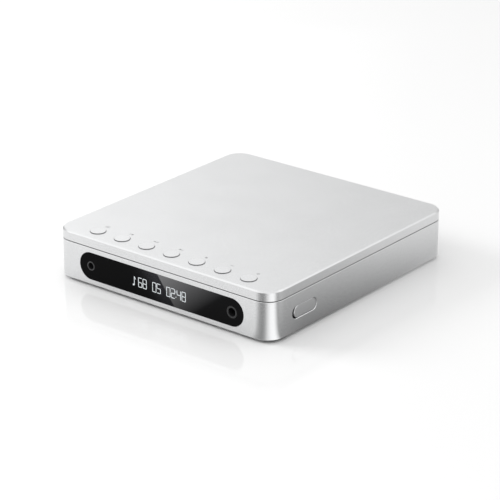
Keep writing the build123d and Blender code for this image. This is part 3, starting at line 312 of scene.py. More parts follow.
make_finish("key_print", (0.20, 0.202, 0.205), 0.0, 5000, 0.8, (0.45, 0.55), 0.03, 400)
print(len(finishes), "finishes")

# %% [markdown]
# The window and the display glass are the mirror-smooth pieces, with hardly any roughness.
# Polished acrylic is never perfectly even, so a very slow noise of a few micrometres bends its
# surface. Without it the reflections would be too perfect. The lens has a coating between blue and
# violet, which a mottle of two colours stands for.

# %% Polished surfaces
ACRYLIC_IOR = 1.45
window_material, window_shader = new_finish("window_gloss", (0.0012, 0.0012, 0.0014), 0.0, 0.035,
                                            ACRYLIC_IOR, 0.05)
finishes["window_gloss"] = window_material
glass_material, glass_shader = new_finish("display_glass", (0.006, 0.006, 0.007), 0.0, 0.08,
                                          ACRYLIC_IOR, 0.5)
finishes["display_glass"] = glass_material


def add_ripple(material, shader, scale, depth_um):
    """The slow unevenness of a polished sheet."""
    link = material.node_tree.links.new
    noise = noise_in(material, scale, 1.0)
    bump = node_in(material, "ShaderNodeBump")
    bump.inputs["Distance"].default_value = depth_um * MICRON
    link(noise.outputs["Fac"], bump.inputs["Height"])
    link(bump.outputs["Normal"], shader.inputs["Normal"])


add_ripple(window_material, window_shader, 25, 3.0)
add_ripple(glass_material, glass_shader, 40, 2.0)

lens_material, lens_shader = new_finish("coated_lens", (0.020, 0.030, 0.130), 0.0, 0.04, 1.6, 0.8)
add_mottle(lens_material, lens_shader, 900, (0.015, 0.020, 0.110), (0.060, 0.020, 0.120))
finishes["coated_lens"] = lens_material
print("polished: window, display glass and lens")

# %% [markdown]
# A circuit board is glass fibre under green lacquer. The copper runs show through as lighter
# lines. A drawn layout would be truer, but most of the board is hidden. A brick pattern stretched
# along one axis gives runs that stop and start in straight lines, and is enough.

# %% Circuit board
board_material, board_shader = new_finish("circuit_board", (0.012, 0.10, 0.045), 0.0, 0.34)
link = board_material.node_tree.links.new
place = node_in(board_material, "ShaderNodeTexCoord")
runs = node_in(board_material, "ShaderNodeTexBrick", offset=0.37, squash=0.6, squash_frequency=3)
runs.inputs["Color1"].default_value = (0.010, 0.095, 0.040, 1.0)
runs.inputs["Color2"].default_value = (0.013, 0.110, 0.048, 1.0)
runs.inputs["Mortar"].default_value = (0.045, 0.200, 0.080, 1.0)
runs.inputs["Scale"].default_value = 190.0
runs.inputs["Mortar Size"].default_value = 0.035
runs.inputs["Brick Width"].default_value = 1.9
runs.inputs["Row Height"].default_value = 0.16
link(place.outputs["Object"], runs.inputs["Vector"])
link(runs.outputs["Color"], board_shader.inputs["Base Color"])
relief = node_in(board_material, "ShaderNodeBump")
relief.inputs["Distance"].default_value = 30 * MICRON
link(runs.outputs["Fac"], relief.inputs["Height"])
link(relief.outputs["Normal"], board_shader.inputs["Normal"])
finishes["circuit_board"] = board_material
print("board runs", round(1000 / runs.inputs["Scale"].default_value, 2), "mm to a brick unit")

# %% [markdown]
# The lit digits give off their own light. They are a cool white, bright enough to read in a lit
# room and not so bright that they glare. Lamps behind the digits could light them, but a shader
# that emits is simpler.

# %% Lit display
light_material, light_shader = new_finish("display_light", (0.25, 0.27, 0.28), 0.0, 0.5)
light_shader.inputs["Emission Color"].default_value = (0.93, 0.97, 1.0, 1.0)
light_shader.inputs["Emission Strength"].default_value = 0.58
finishes["display_light"] = light_material
print(len(finishes), "finishes in all")

# %% [markdown]
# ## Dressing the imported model
# Each node of the model keeps its own shape and gets one finish. A table from finish to nodes is
# shorter than one from node to finish, and shows at a glance what is made of the same stuff.

# %% Finish of each node
FINISH_OF_NODE = {
    "blasted_aluminium": ["base_shell", "lid_shell"],
    "key_aluminium": ["key_mode", "key_previous", "key_play", "key_next", "key_stop", "key_volume_down",
                      "key_volume_up"],
    "slider_aluminium": ["opening_knob"],
    "rubber": ["rubber_feet", "mechanism_dampers", "turntable_mat"],
    "black_steel": ["base_screws", "lid_screws", "damper_screws", "board_screws", "hinge_lid_screws",
                    "hinge_base_screws"],
    "window_gloss": ["front_window"],
    "display_glass": ["display_panel"],
    "socket_black": ["headphone_jack_small", "headphone_jack_balanced", "rear_jacks", "switch_board"],
    "plated_steel": ["usb_socket", "mode_switch_body", "key_switches", "hinge_base_leaves",
                     "hinge_lid_leaves", "lid_striker", "latch_spring", "pickup_magnets"],
    "ground_rod": ["guide_rods", "hinge_pins", "spindle_shaft", "hub_balls", "gear_axle"],
    "moulded_black": ["deck", "lid_liner", "turntable", "mode_switch_lever", "latch_slide"],
    "moulded_grey": ["mechanism_chassis"],
    "motor_can": ["spindle_motor", "sled_motor"],
    "cast_zinc": ["pickup_body"],
    "turned_brass": ["motor_pinion"],
    "white_nylon": ["drive_gear", "sled_rack"],
    "coated_lens": ["objective_lens"],
    "chip_epoxy": ["main_board_parts", "lens_holder"],
    "circuit_board": ["main_board", "display_board", "key_board"],
    "cell_sleeve": ["battery_pack"],
    "foam": ["battery_pad"],
    "lead_red": ["battery_leads"],
    "ribbon_amber": ["mechanism_ribbon"],
}


def dress(obj, finish):
    """Gives an object one finish."""
    obj.data.materials.clear()
    obj.data.materials.append(finishes[finish])


dressed = 0
for finish, names in FINISH_OF_NODE.items():
    for name in names:
        dress(nodes[name], finish)
        dressed += 1
print("dressed", dressed, "of", len(nodes))

# %% [markdown]
# ## Growing repeated details
# Small parts that repeat come from Geometry Nodes. A cloud of points says where each copy goes, which
# way it turns and how long it is. The tree makes one rounded bar, sets a copy on every point, and
# joins the copies into a plain mesh. Sizes are named inputs, so one kind of tree serves the lit
# strokes of the display, the gold contacts of the power socket and the ribs of the rear switch. The
# first cell holds what every tree needs: an empty tree, and the two nodes that each one ends with.

# %% Starting and ending a tree
def new_tree(name, sizes):
    """An empty tree with a geometry input and output and a named number input for each size."""
    tree = bpy.data.node_groups.new(name, "GeometryNodeTree")
    tree.interface.new_socket("Geometry", in_out="INPUT", socket_type="NodeSocketGeometry")
    tree.interface.new_socket("Geometry", in_out="OUTPUT", socket_type="NodeSocketGeometry")
    keys = {}
    for size in sizes:
        socket = tree.interface.new_socket(size, in_out="INPUT", socket_type="NodeSocketFloat")
        keys[size] = socket.identifier
    return tree, keys, tree.nodes.new("NodeGroupInput"), tree.nodes.new("NodeGroupOutput")


def end_tree(tree, geometry, finish, result):
    """The last two nodes: copies become real geometry, which gets its finish."""
    real, paint = tree.nodes.new("GeometryNodeRealizeInstances"), tree.nodes.new("GeometryNodeSetMaterial")
    paint.inputs["Material"].default_value = finishes[finish]
    tree.links.new(geometry, real.inputs["Geometry"])
    tree.links.new(real.outputs["Geometry"], paint.inputs["Geometry"])
    tree.links.new(paint.outputs["Geometry"], result.inputs["Geometry"])


# %% [markdown]
# The bar starts as a rounded rectangle. Filling it gives the foot, extruding the foot gives the walls
# and the top, and a flipped copy of the foot closes it underneath.

# %% Bars on points
def named_attribute(tree, name):
    """A vector stored on the points."""
    node = tree.nodes.new("GeometryNodeInputNamedAttribute")
    node.data_type = "FLOAT_VECTOR"
    node.inputs["Name"].default_value = name
    return node.outputs["Attribute"]


def bar_tree(finish):
    """Rounded bars, one on each point, lying along X with their thickness up."""
    tree, keys, source, result = new_tree("bars_of_" + finish, ["Length", "Width", "Thickness", "Corner"])
    add, join = tree.nodes.new, tree.links.new
    outline, round_off = add("GeometryNodeCurvePrimitiveQuadrilateral"), add("GeometryNodeFilletCurve")
    round_off.mode = "POLY"
    round_off.inputs["Count"].default_value = 3
    fill, thicken = add("GeometryNodeFillCurve"), add("GeometryNodeExtrudeMesh")
    fill.mode = "NGONS"
    base, flip = add("GeometryNodeJoinGeometry"), add("GeometryNodeFlipFaces")
    spread = add("GeometryNodeInstanceOnPoints")
    thicken.inputs["Individual"].default_value = False
    join(source.outputs["Length"], outline.inputs["Width"])
    join(source.outputs["Width"], outline.inputs["Height"])
    join(outline.outputs["Curve"], round_off.inputs["Curve"])
    join(source.outputs["Corner"], round_off.inputs["Radius"])
    join(round_off.outputs["Curve"], fill.inputs["Curve"])
    join(fill.outputs["Mesh"], thicken.inputs["Mesh"])
    join(source.outputs["Thickness"], thicken.inputs["Offset Scale"])
    join(fill.outputs["Mesh"], flip.inputs["Mesh"])
    join(thicken.outputs["Mesh"], base.inputs["Geometry"])
    join(flip.outputs["Mesh"], base.inputs["Geometry"])
    join(source.outputs["Geometry"], spread.inputs["Points"])
    join(base.outputs["Geometry"], spread.inputs["Instance"])
    join(named_attribute(tree, "turn"), spread.inputs["Rotation"])
    join(named_attribute(tree, "stretch"), spread.inputs["Scale"])
    end_tree(tree, spread.outputs["Instances"], finish, result)
    return tree, keys


# %% [markdown]
# A tree runs as a modifier on a seed object. Its inputs are set by their identifiers, and then the
# result is read back as a plain mesh, welded, and given to the body that it rides on.

# %% Running a tree
WELD = 1e-7


def run_tree(name, seed_mesh, tree, keys, sizes, body):
    """Runs a tree on a seed mesh and keeps the plain mesh as a piece on a body."""
    seed = add_object(name + "_seed", seed_mesh)
    modifier = seed.modifiers.new("grow", "NODES")
    modifier.node_group = tree
    for size, value in sizes.items():
        modifier[keys[size]] = value * MM
    graph = bpy.context.evaluated_depsgraph_get()
    mesh = bpy.data.meshes.new_from_object(seed.evaluated_get(graph))
    bpy.data.objects.remove(seed)
    bpy.data.meshes.remove(seed_mesh)
    for layer in ("turn", "stretch"):
        if layer in mesh.attributes:
            mesh.attributes.remove(mesh.attributes[layer])
    weld = bmesh.new()
    weld.from_mesh(mesh)
    bmesh.ops.remove_doubles(weld, verts=weld.verts, dist=WELD)
    bmesh.ops.recalc_face_normals(weld, faces=weld.faces)
    weld.to_mesh(mesh)
    weld.free()
    return keep_piece(name, mesh, body)


def keep_piece(name, mesh, body):
    """Makes a finished mesh a piece that rides on a body."""
    mesh.name = name
    obj = add_object(name, mesh)
    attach(obj, body)
    print(name, len(mesh.polygons), "faces")
    return obj


def grow(name, points, tree, keys, sizes, body):
    """Runs a tree on points of (place in mm, turn in degrees, stretch) and keeps the plain mesh."""
    cloud = bpy.data.meshes.new(name + "_points")
    cloud.from_pydata([[v * MM for v in place] for place, turn, stretch in points], [], [])
    for key, values in (("turn", [[math.radians(v) for v in turn] for place, turn, stretch in points]),
                        ("stretch", [stretch for place, turn, stretch in points])):
        layer = cloud.attributes.new(key, "FLOAT_VECTOR", "POINT")
        layer.data.foreach_set("vector", [v for value in values for v in value])
    return run_tree(name, cloud, tree, keys, sizes, body)


# %% [markdown]
# ### The lit display
# Each digit has seven strokes. A table says which strokes a digit lights. Text would be quicker, but
# strokes look like a real display at any size. They stand just proud of the window, where a real
# display shines through it from behind. A note sign stands before the first digit.

# %% Digits
STROKES_OF_DIGIT = {"0": "abcdef", "2": "abdeg", "4": "bcfg", "5": "acdfg", "6": "acdefg", "8": "abcdefg"}
DIGIT_WIDTH, DIGIT_HEIGHT, STROKE = 2.6, 5.15, 0.37
DIGIT_BASE = 8.45
STROKE_SHARE, STROKE_CORNER = 0.97, 0.14
DIGITS = [("6", -13.8), ("8", -10.9), ("0", -4.7), ("5", -1.9),
          ("0", 4.25), ("2", 7.2), ("4", 10.85), ("8", 13.9)]
GLOW_GAP, GLOW_THICK = 0.012, 0.010
GLOW_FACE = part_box("front_window")[0].y / MM - GLOW_GAP
reach_x, reach_z = DIGIT_WIDTH - STROKE, (DIGIT_HEIGHT - STROKE) / 2


def stroke_places(left):
    """Middle and direction of a digit's seven strokes, by letter."""
    x0, x1 = left + STROKE / 2, left + DIGIT_WIDTH - STROKE / 2
    middle = (x0 + x1) / 2
    z0 = DIGIT_BASE + STROKE / 2
    z1, z2 = z0 + reach_z, z0 + 2 * reach_z
    lower, upper = (z0 + z1) / 2, (z1 + z2) / 2
    return {"a": (middle, z2, 0), "b": (x1, upper, 90), "c": (x1, lower, 90), "d": (middle, z0, 0),
            "e": (x0, lower, 90), "f": (x0, upper, 90), "g": (middle, z1, 0)}


lit = []
for digit, left in DIGITS:
    places = stroke_places(left)
    for letter in STROKES_OF_DIGIT[digit]:
        x, z, turn = places[letter]
        length = (reach_z if turn else reach_x) * STROKE_SHARE
        lit.append(((x, GLOW_FACE, z), (90, turn, 0), (length, 1, 1)))
COLON_X, COLON_HEIGHTS, COLON_DOT = 10.32, (9.6, 12.3), (0.46, 1.2, 1)
for z in COLON_HEIGHTS:
    lit.append(((COLON_X, GLOW_FACE, z), (90, 0, 0), COLON_DOT))
NOTE_X, NOTE_FOOT, NOTE_TOP = -16.3, 9.0, 13.45
# the note is a stem, a tilted head at its foot and a short flag near its top
lit.append(((NOTE_X, GLOW_FACE, (NOTE_FOOT + NOTE_TOP) / 2), (90, 90, 0), (NOTE_TOP - NOTE_FOOT, 1, 1)))
lit.append(((NOTE_X - 0.42, GLOW_FACE, NOTE_FOOT), (90, -25, 0), (1.15, 2.2, 1)))
lit.append(((NOTE_X + 0.50, GLOW_FACE, NOTE_TOP - 0.85), (90, 58, 0), (1.5, 1, 1)))
strokes, stroke_keys = bar_tree("display_light")
grow("display_digits", lit, strokes, stroke_keys,
     {"Length": 1.0, "Width": STROKE, "Thickness": GLOW_THICK, "Corner": STROKE_CORNER}, "base")

# %% [markdown]
# ### Contacts and grips
# The power socket holds a thin black tongue with a row of gold contacts above and below. The lever
# of the rear switch is ribbed so that a fingertip can move it. They could be placed one by one,
# but bars on points keep the pitch even, and the same tree is already there.

# %% Contacts and ribs
TONGUE_X, TONGUE_Y, TONGUE_Z = -33.0, 67.9, 10.0
TONGUE_HALF = 0.37
CONTACT_COUNT, CONTACT_PITCH, CONTACT_BACK = 8, 0.72, 0.75
tongue_bars, tongue_keys = bar_tree("socket_black")
grow("socket_tongue", [((TONGUE_X, TONGUE_Y, TONGUE_Z - TONGUE_HALF), (0, 0, 0), (1, 1, 1))], tongue_bars,
     tongue_keys, {"Length": 6.64, "Width": 5.90, "Thickness": 2 * TONGUE_HALF, "Corner": 0.25}, "base")
contacts = []
for i in range(CONTACT_COUNT):
    x, y = TONGUE_X + (i - (CONTACT_COUNT - 1) / 2) * CONTACT_PITCH, TONGUE_Y + CONTACT_BACK
    contacts.append(((x, y, TONGUE_Z + TONGUE_HALF), (0, 0, 90), (1, 1, 1)))
    contacts.append(((x, y, TONGUE_Z - TONGUE_HALF), (180, 0, 90), (1, 1, 1)))
contact_bars, contact_keys = bar_tree("gold_contact")
grow("socket_contacts", contacts, contact_bars, contact_keys,
     {"Length": 3.8, "Width": 0.34, "Thickness": 0.02, "Corner": 0.08}, "base")

RIB_STEPS = (-0.9, -0.3, 0.3, 0.9)
lever_low, lever_high = (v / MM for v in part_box("mode_switch_lever"))
lever_middle = (lever_low + lever_high) / 2
ribs = [((lever_middle.x + step, lever_high.y, lever_middle.z), (-90, 90, 0), (1, 1, 1))
        for step in RIB_STEPS]
rib_bars, rib_keys = bar_tree("moulded_black")
grow("switch_ribs", ribs, rib_bars, rib_keys,
     {"Length": 1.3, "Width": 0.26, "Thickness": 0.08, "Corner": 0.1}, "mode_switch")

# %% [markdown]
# ### Ridges on paths
# The floor of the disc bay has thin raised arcs that keep a dropped disc off it. An Array modifier
# repeats straight bars well, but these follow a path, so this tree turns the edges of a mesh into
# curves and sweeps one profile along all of them. The paths stop short of the slot that the pickup
# travels in.

# %% Bay ridges
def ridge_tree(finish):
    """Sweeps a rounded profile along every chain of edges it is given."""
    tree, keys, source, result = new_tree("ridges_of_" + finish, ["Width", "Height", "Corner"])
    add, join = tree.nodes.new, tree.links.new
    path, upright = add("GeometryNodeMeshToCurve"), add("GeometryNodeSetCurveNormal")
    upright.mode = "Z_UP"
    profile, soften = add("GeometryNodeCurvePrimitiveQuadrilateral"), add("GeometryNodeFilletCurve")
    soften.mode = "POLY"
    soften.inputs["Count"].default_value = 2
    sweep = add("GeometryNodeCurveToMesh")
    sweep.inputs["Fill Caps"].default_value = True
    join(source.outputs["Geometry"], path.inputs["Mesh"])
    join(path.outputs["Curve"], upright.inputs["Curve"])
    join(upright.outputs["Curve"], sweep.inputs["Curve"])
    join(source.outputs["Width"], profile.inputs["Width"])
    join(source.outputs["Height"], profile.inputs["Height"])
    join(profile.outputs["Curve"], soften.inputs["Curve"])
    join(source.outputs["Corner"], soften.inputs["Radius"])
    join(soften.outputs["Curve"], sweep.inputs["Profile Curve"])
    end_tree(tree, sweep.outputs["Mesh"], finish, result)
    return tree, keys


def sweep_paths(name, paths, tree, keys, sizes, body):
    """Runs a ridge tree on paths, each a list of places in mm."""
    verts, edges = [], []
    for path in paths:
        start = len(verts)
        verts += [[v * MM for v in place] for place in path]
        edges += [(i, i + 1) for i in range(start, len(verts) - 1)]
    chains = bpy.data.meshes.new(name + "_paths")
    chains.from_pydata(verts, edges, [])
    return run_tree(name, chains, tree, keys, sizes, body)


def arc(centre, radius, first, last, height, steps=72):
    """Places along an arc, its angles in degrees from +X."""
    turns = [math.radians(first + (last - first) * i / steps) for i in range(steps + 1)]
    return [(centre[0] + radius * math.cos(t), centre[1] + radius * math.sin(t), height) for t in turns]


hub_low, hub_high = (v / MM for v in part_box("turntable"))
HUB = ((hub_low.x + hub_high.x) / 2, (hub_low.y + hub_high.y) / 2)
BAY_FLOOR, SLOT_HALF, SLOT_MARGIN = 16.6, 13.2, 2.0
RIDGE_RADII, RIDGE_LIFT = (27.0, 41.0, 55.0), 0.1
ridge_paths = []
for radius in RIDGE_RADII:
    clear = math.degrees(math.asin((SLOT_HALF + SLOT_MARGIN) / radius))
    ridge_paths.append(arc(HUB, radius, 90 + clear, 450 - clear, BAY_FLOOR + RIDGE_LIFT))
ridges, ridge_keys = ridge_tree("moulded_black")
sweep_paths("bay_ridges", ridge_paths, ridges, ridge_keys, {"Width": 0.9, "Height": 0.5, "Corner": 0.12},
            "base")

# %% [markdown]
# ### The latch's return spring
# A coil of thin wire pushes the opening slider back. Its path is a helix whose first and last turns
# lie close together, as the dead turns of a real spring do. A Screw modifier could wind it, but a
# path of our own leaves the pitch free. The slider shortens the spring when it moves, but this coil
# is drawn at one length and stays as it is.

# %% Latch spring
SPRING_WIRE, SPRING_TURNS, SPRING_TRAVEL = 0.18, 5.0, 1.65
END_CLOSENESS = 0.11
spring_low, spring_high = (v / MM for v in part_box("latch_spring"))
spring_middle = (spring_low + spring_high) / 2
spring_radius = (spring_high.z - spring_low.z) / 2 - SPRING_WIRE
spring_length = spring_high.y - spring_low.y - 2 * SPRING_WIRE


def wire_tree(finish):
    """Sweeps a round wire along every chain of edges it is given."""
    tree, keys, source, result = new_tree("wire_of_" + finish, ["Radius"])
    add, join = tree.nodes.new, tree.links.new
    path, round_wire = add("GeometryNodeMeshToCurve"), add("GeometryNodeCurvePrimitiveCircle")
    round_wire.inputs["Resolution"].default_value = 10
    sweep = add("GeometryNodeCurveToMesh")
    sweep.inputs["Fill Caps"].default_value = True
    join(source.outputs["Geometry"], path.inputs["Mesh"])
    join(source.outputs["Radius"], round_wire.inputs["Radius"])
    join(path.outputs["Curve"], sweep.inputs["Curve"])
    join(round_wire.outputs["Curve"], sweep.inputs["Profile Curve"])
    end_tree(tree, sweep.outputs["Mesh"], finish, result)
    return tree, keys


def coil(middle, radius, start, length, turns, steps=32):
    """A helix along Y whose end turns lie close together."""
    places = []
    for i in range(int(turns * steps) + 1):
        share = i / (turns * steps)
        along = share - END_CLOSENESS * math.sin(2 * math.pi * share)
        turn = 2 * math.pi * turns * share
        x, z = middle.x + radius * math.cos(turn), middle.z + radius * math.sin(turn)
        places.append((x, start + length * along, z))
    return places


wire, wire_keys = wire_tree("ground_rod")
spring_path = coil(spring_middle, spring_radius, spring_low.y + SPRING_WIRE, spring_length, SPRING_TURNS)
spring = sweep_paths("latch_coil", [spring_path], wire, wire_keys, {"Radius": SPRING_WIRE}, "base")
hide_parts("latch_spring")
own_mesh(spring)

# %% [markdown]
# ### Printed marks
# Behind each key a small plain symbol is printed on the lid. Ink has a thickness of a few
# micrometres, so each symbol is a set of flat outlines raised a hair above the metal. An image texture
# would blur close up, and these stay sharp.

# %% Key symbols
def bar_outline(x0, x1, y0, y1):
    """A rectangle as an outline."""
    return [(x0, y0), (x1, y0), (x1, y1), (x0, y1)]


def arrow_outline(tail, tip, half):
    """A triangle that points along X."""
    return [(tail, -half), (tip, 0.0), (tail, half)]


MARKS = {
    "key_mode": [bar_outline(-0.9, 0.9, y - 0.10, y + 0.10) for y in (-0.55, 0.0, 0.55)],
    "key_previous": [bar_outline(-0.95, -0.73, -0.6, 0.6), arrow_outline(0.8, -0.55, 0.6)],
    "key_play": [arrow_outline(-1.0, 0.0, 0.6), bar_outline(0.25, 0.47, -0.6, 0.6),
                 bar_outline(0.72, 0.94, -0.6, 0.6)],
    "key_next": [arrow_outline(-0.8, 0.55, 0.6), bar_outline(0.73, 0.95, -0.6, 0.6)],
    "key_stop": [bar_outline(-0.5, 0.5, -0.5, 0.5)],
    "key_volume_down": [bar_outline(-0.7, 0.7, -0.16, 0.16)],
    "key_volume_up": [bar_outline(-0.7, 0.7, -0.16, 0.16), bar_outline(-0.15, 0.15, 0.17, 0.7),
                      bar_outline(-0.15, 0.15, -0.7, -0.17)],
}
MARK_BEHIND_KEY = 7.1
MARK_SCALE = 1.3
INK = 0.006


def raise_outline(shape, outline, low, high):
    """A closed prism over an outline, in mm."""
    foot = [shape.verts.new((x * MM, y * MM, low * MM)) for x, y in outline]
    top = [shape.verts.new((x * MM, y * MM, high * MM)) for x, y in outline]
    shape.faces.new(top)
    shape.faces.new(foot[::-1])
    for i in range(len(outline)):
        j = (i + 1) % len(outline)
        shape.faces.new((foot[i], foot[j], top[j], top[i]))


def keep_shape(name, shape, finish, body):
    """Turns a bmesh into a finished piece on a body."""
    bmesh.ops.recalc_face_normals(shape, faces=shape.faces)
    mesh = bpy.data.meshes.new(name)
    shape.to_mesh(mesh)
    shape.free()
    mesh.materials.append(finishes[finish])
    return keep_piece(name, mesh, body)


lid_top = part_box("lid_shell")[1].z / MM
ink = bmesh.new()
for key, outlines in MARKS.items():
    low, high = (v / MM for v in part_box(key))
    x0, y0 = (low.x + high.x) / 2, (low.y + high.y) / 2 + MARK_BEHIND_KEY
    for outline in outlines:
        placed = [(x0 + x * MARK_SCALE, y0 + y * MARK_SCALE) for x, y in outline]
        raise_outline(ink, placed, lid_top, lid_top + INK)
keep_shape("key_symbols", ink, "key_print", "lid")

# %% [markdown]
# ### Collars of the sockets
# Each round socket shows a thin turned ring round its hole. A ring is a small rounded profile
# carried once round the socket's axis. A Screw modifier does the same, but written out as rows of
# corners the ring closes on itself without a seam.

# %% Socket collars
CROWN_STEPS = 6


def turned_ring(shape, x, z, face, side, inner, outer, proud, steps=48):
    """A ring round an axis along Y. Its rounded crown stands proud of a face that looks along side."""
    middle, half = (inner + outer) / 2, (outer - inner) / 2
    profile = [(middle + half * math.cos(a), face + side * proud * math.sin(a))
               for a in (math.pi * i / CROWN_STEPS for i in range(CROWN_STEPS + 1))]
    rows = []
    for i in range(steps):
        turn = 2 * math.pi * i / steps
        rows.append([shape.verts.new(((x + r * math.cos(turn)) * MM, y * MM, (z + r * math.sin(turn)) * MM))
                     for r, y in profile])
    for i in range(steps):
        this, following = rows[i], rows[(i + 1) % steps]
        for j in range(len(profile)):
            k = (j + 1) % len(profile)
            shape.faces.new((this[j], this[k], following[k], following[j]))


def socket_axis(name, share):
    """Axis of a socket in X and Z, in mm, at a share of its box's width."""
    low, high = (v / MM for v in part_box(name))
    return low.x + (high.x - low.x) * share, (low.z + high.z) / 2


# %% [markdown]
# The two rear sockets share one block, so their axes are shares of the block's width. Each row gives
# the piece, its node, the share, the inner and outer radius, the finish and the slot.

# %% Four collars
REAR_BLOCK = 18.5
LINE_OUT, DIGITAL_OUT = 4.0 / REAR_BLOCK, 14.5 / REAR_BLOCK
COLLAR_PROUD = 0.04
COLLARS = [
    ("collar_small", "headphone_jack_small", 0.5, 1.90, 2.36, "collar_satin", "jack_grey"),
    ("collar_large", "headphone_jack_balanced", 0.5, 2.55, 3.04, "collar_dark", "jack_black"),
    ("collar_line_out", "rear_jacks", LINE_OUT, 1.95, 2.80, "socket_grey", "jack_black"),
    ("collar_digital_out", "rear_jacks", DIGITAL_OUT, 1.95, 2.80, "socket_grey", "jack_black"),
]
FRONT_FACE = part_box("headphone_jack_small")[0].y / MM
REAR_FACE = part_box("rear_jacks")[1].y / MM
for name, node, share, inner, outer, finish, slot in COLLARS:
    face, side = (REAR_FACE, 1) if node == "rear_jacks" else (FRONT_FACE, -1)
    ring = bmesh.new()
    x, z = socket_axis(node, share)
    turned_ring(ring, x, z, face, side, inner, outer, COLLAR_PROUD)
    keep_shape(name, ring, finish, "base")

# %% [markdown]
# ## The studio
# A pale floor runs out of sight on all sides. A curved backdrop is the usual way, but it would
# hide the player from behind. The floor is a touch glossy, so the case stands on a faint mirror
# image of itself.

# %% Floor
FLOOR_REACH = 4.0
make_finish("studio_floor", grey(0.665), 0.0, 400, 1.0, (0.07, 0.10), 0.003, 3, ior=1.6, specular=0.5)
sheet = bmesh.new()
sheet.faces.new([sheet.verts.new((x * FLOOR_REACH, y * FLOOR_REACH, 0))
                 for x, y in ((-1, -1), (1, -1), (1, 1), (-1, 1))])
floor_mesh = bpy.data.meshes.new("studio_floor")
sheet.to_mesh(floor_mesh)
sheet.free()
floor = add_object("studio_floor", floor_mesh)
dress(floor, "studio_floor")
floor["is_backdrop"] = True
print("floor", 2 * FLOOR_REACH, "m across")

# %% [markdown]
# The sky is a plain pale dome, brighter above than at the sides. A panorama of a studio could
# stand in for it, but a ramp over the height needs no image and only a few numbers. The dome that
# the metal mirrors is dimmer overhead than the one that lights the floor, or the lid would burn
# out seen from above. The Light Path node tells the two kinds of ray apart.

# %% Sky
SKY_STRENGTH = 1.55
world = bpy.data.worlds.new("pale_dome")
bpy.context.scene.world = world
world.use_nodes = True
sky_nodes, sky_link = world.node_tree.nodes, world.node_tree.links.new
sky = sky_nodes["Background"]
direction = sky_nodes.new("ShaderNodeTexCoord")
split = sky_nodes.new("ShaderNodeSeparateXYZ")
sky_link(direction.outputs["Generated"], split.inputs["Vector"])


def sky_ramp(stops):
    """Brightness of the dome against height, as the sine of the angle above the horizon."""
    ramp = sky_nodes.new("ShaderNodeValToRGB")
    set_stops(ramp, [(position, grey(brightness)) for position, brightness in stops])
    sky_link(split.outputs["Z"], ramp.inputs["Fac"])
    return ramp


lit_sky = sky_ramp([(0.10, 0.36), (0.46, 0.54), (0.66, 1.0)])
mirrored_sky = sky_ramp([(0.10, 0.36), (0.46, 0.54), (0.62, 0.91), (0.72, 0.84), (0.86, 0.60)])
ray_kind, sky_mix = sky_nodes.new("ShaderNodeLightPath"), sky_nodes.new("ShaderNodeMixRGB")
sky_link(ray_kind.outputs["Is Glossy Ray"], sky_mix.inputs["Fac"])
sky_link(lit_sky.outputs["Color"], sky_mix.inputs["Color1"])
sky_link(mirrored_sky.outputs["Color"], sky_mix.inputs["Color2"])
sky_link(sky_mix.outputs["Color"], sky.inputs["Color"])
sky.inputs["Strength"].default_value = SKY_STRENGTH
print("dome strength", SKY_STRENGTH)

# %% [markdown]
# Softboxes shape the metal. Area lights are used because only a large light makes soft edges. One
# hangs behind the left corner, so the lid is brightest there and falls off towards the right. The
# key light stands at the left and throws the soft shadow to the right of the case. It is left out
# of reflections, or it would put bright notches on the rims of the keys. A weak light overhead
# lifts the whole.

# %% Softboxes
def softbox(name, place, aim, width, height, power):
    """A rectangular area light that faces a point."""
    data = bpy.data.lights.new(name, "AREA")
    data.shape = "RECTANGLE"
    data.size = width
    data.size_y = height
    data.energy = power
    obj = add_object(name, data)
    obj.location = place
    obj.rotation_euler = (Vector(aim) - Vector(place)).to_track_quat("-Z", "Y").to_euler()
    obj.visible_camera = False
    return obj


def grade(light, axis, stops):
    """Makes a light brighter at one end: stops are places along the light's axis and brightnesses."""
    light.data.use_nodes = True
    tree = light.data.node_tree
    place_on = tree.nodes.new("ShaderNodeNewGeometry")
    parts_of = tree.nodes.new("ShaderNodeSeparateXYZ")
    fade = tree.nodes.new("ShaderNodeValToRGB")
    set_stops(fade, [(position, grey(brightness)) for position, brightness in stops])
    tree.links.new(place_on.outputs["Parametric"], parts_of.inputs["Vector"])
    tree.links.new(parts_of.outputs[axis], fade.inputs["Fac"])
    tree.links.new(fade.outputs["Color"], tree.nodes["Emission"].inputs["Color"])


left_box = softbox("left_softbox", (-0.318, 0.397, 0.235), (0, 0, 0.026), width=0.70, height=0.40,
                   power=0.50)
grade(left_box, "X", [(0.32, 0.0), (0.72, 0.62)])
front_key = softbox("front_key", (-1.15, -0.50, 0.62), (0, 0, 0), width=0.60, height=0.45, power=12.0)
front_key.visible_glossy = False
softbox("overhead", (0.0, -0.2, 1.3), (0, 0, 0), width=1.4, height=1.4, power=0.6)
print("softboxes", [light.name for light in bpy.data.lights])

# %% [markdown]
# A satin metal corner looks round only when it reflects something dark next to something bright.
# Studios lay grey and white cards on the table for that. Here one fan of card lies round the front
# right corner. Only gloss sees it, and only from above, so it leaves the floor alone. First come the
# tones: one for each heading round the corner, and a lift along the right side that fades into the
# floor's own tone behind the case.

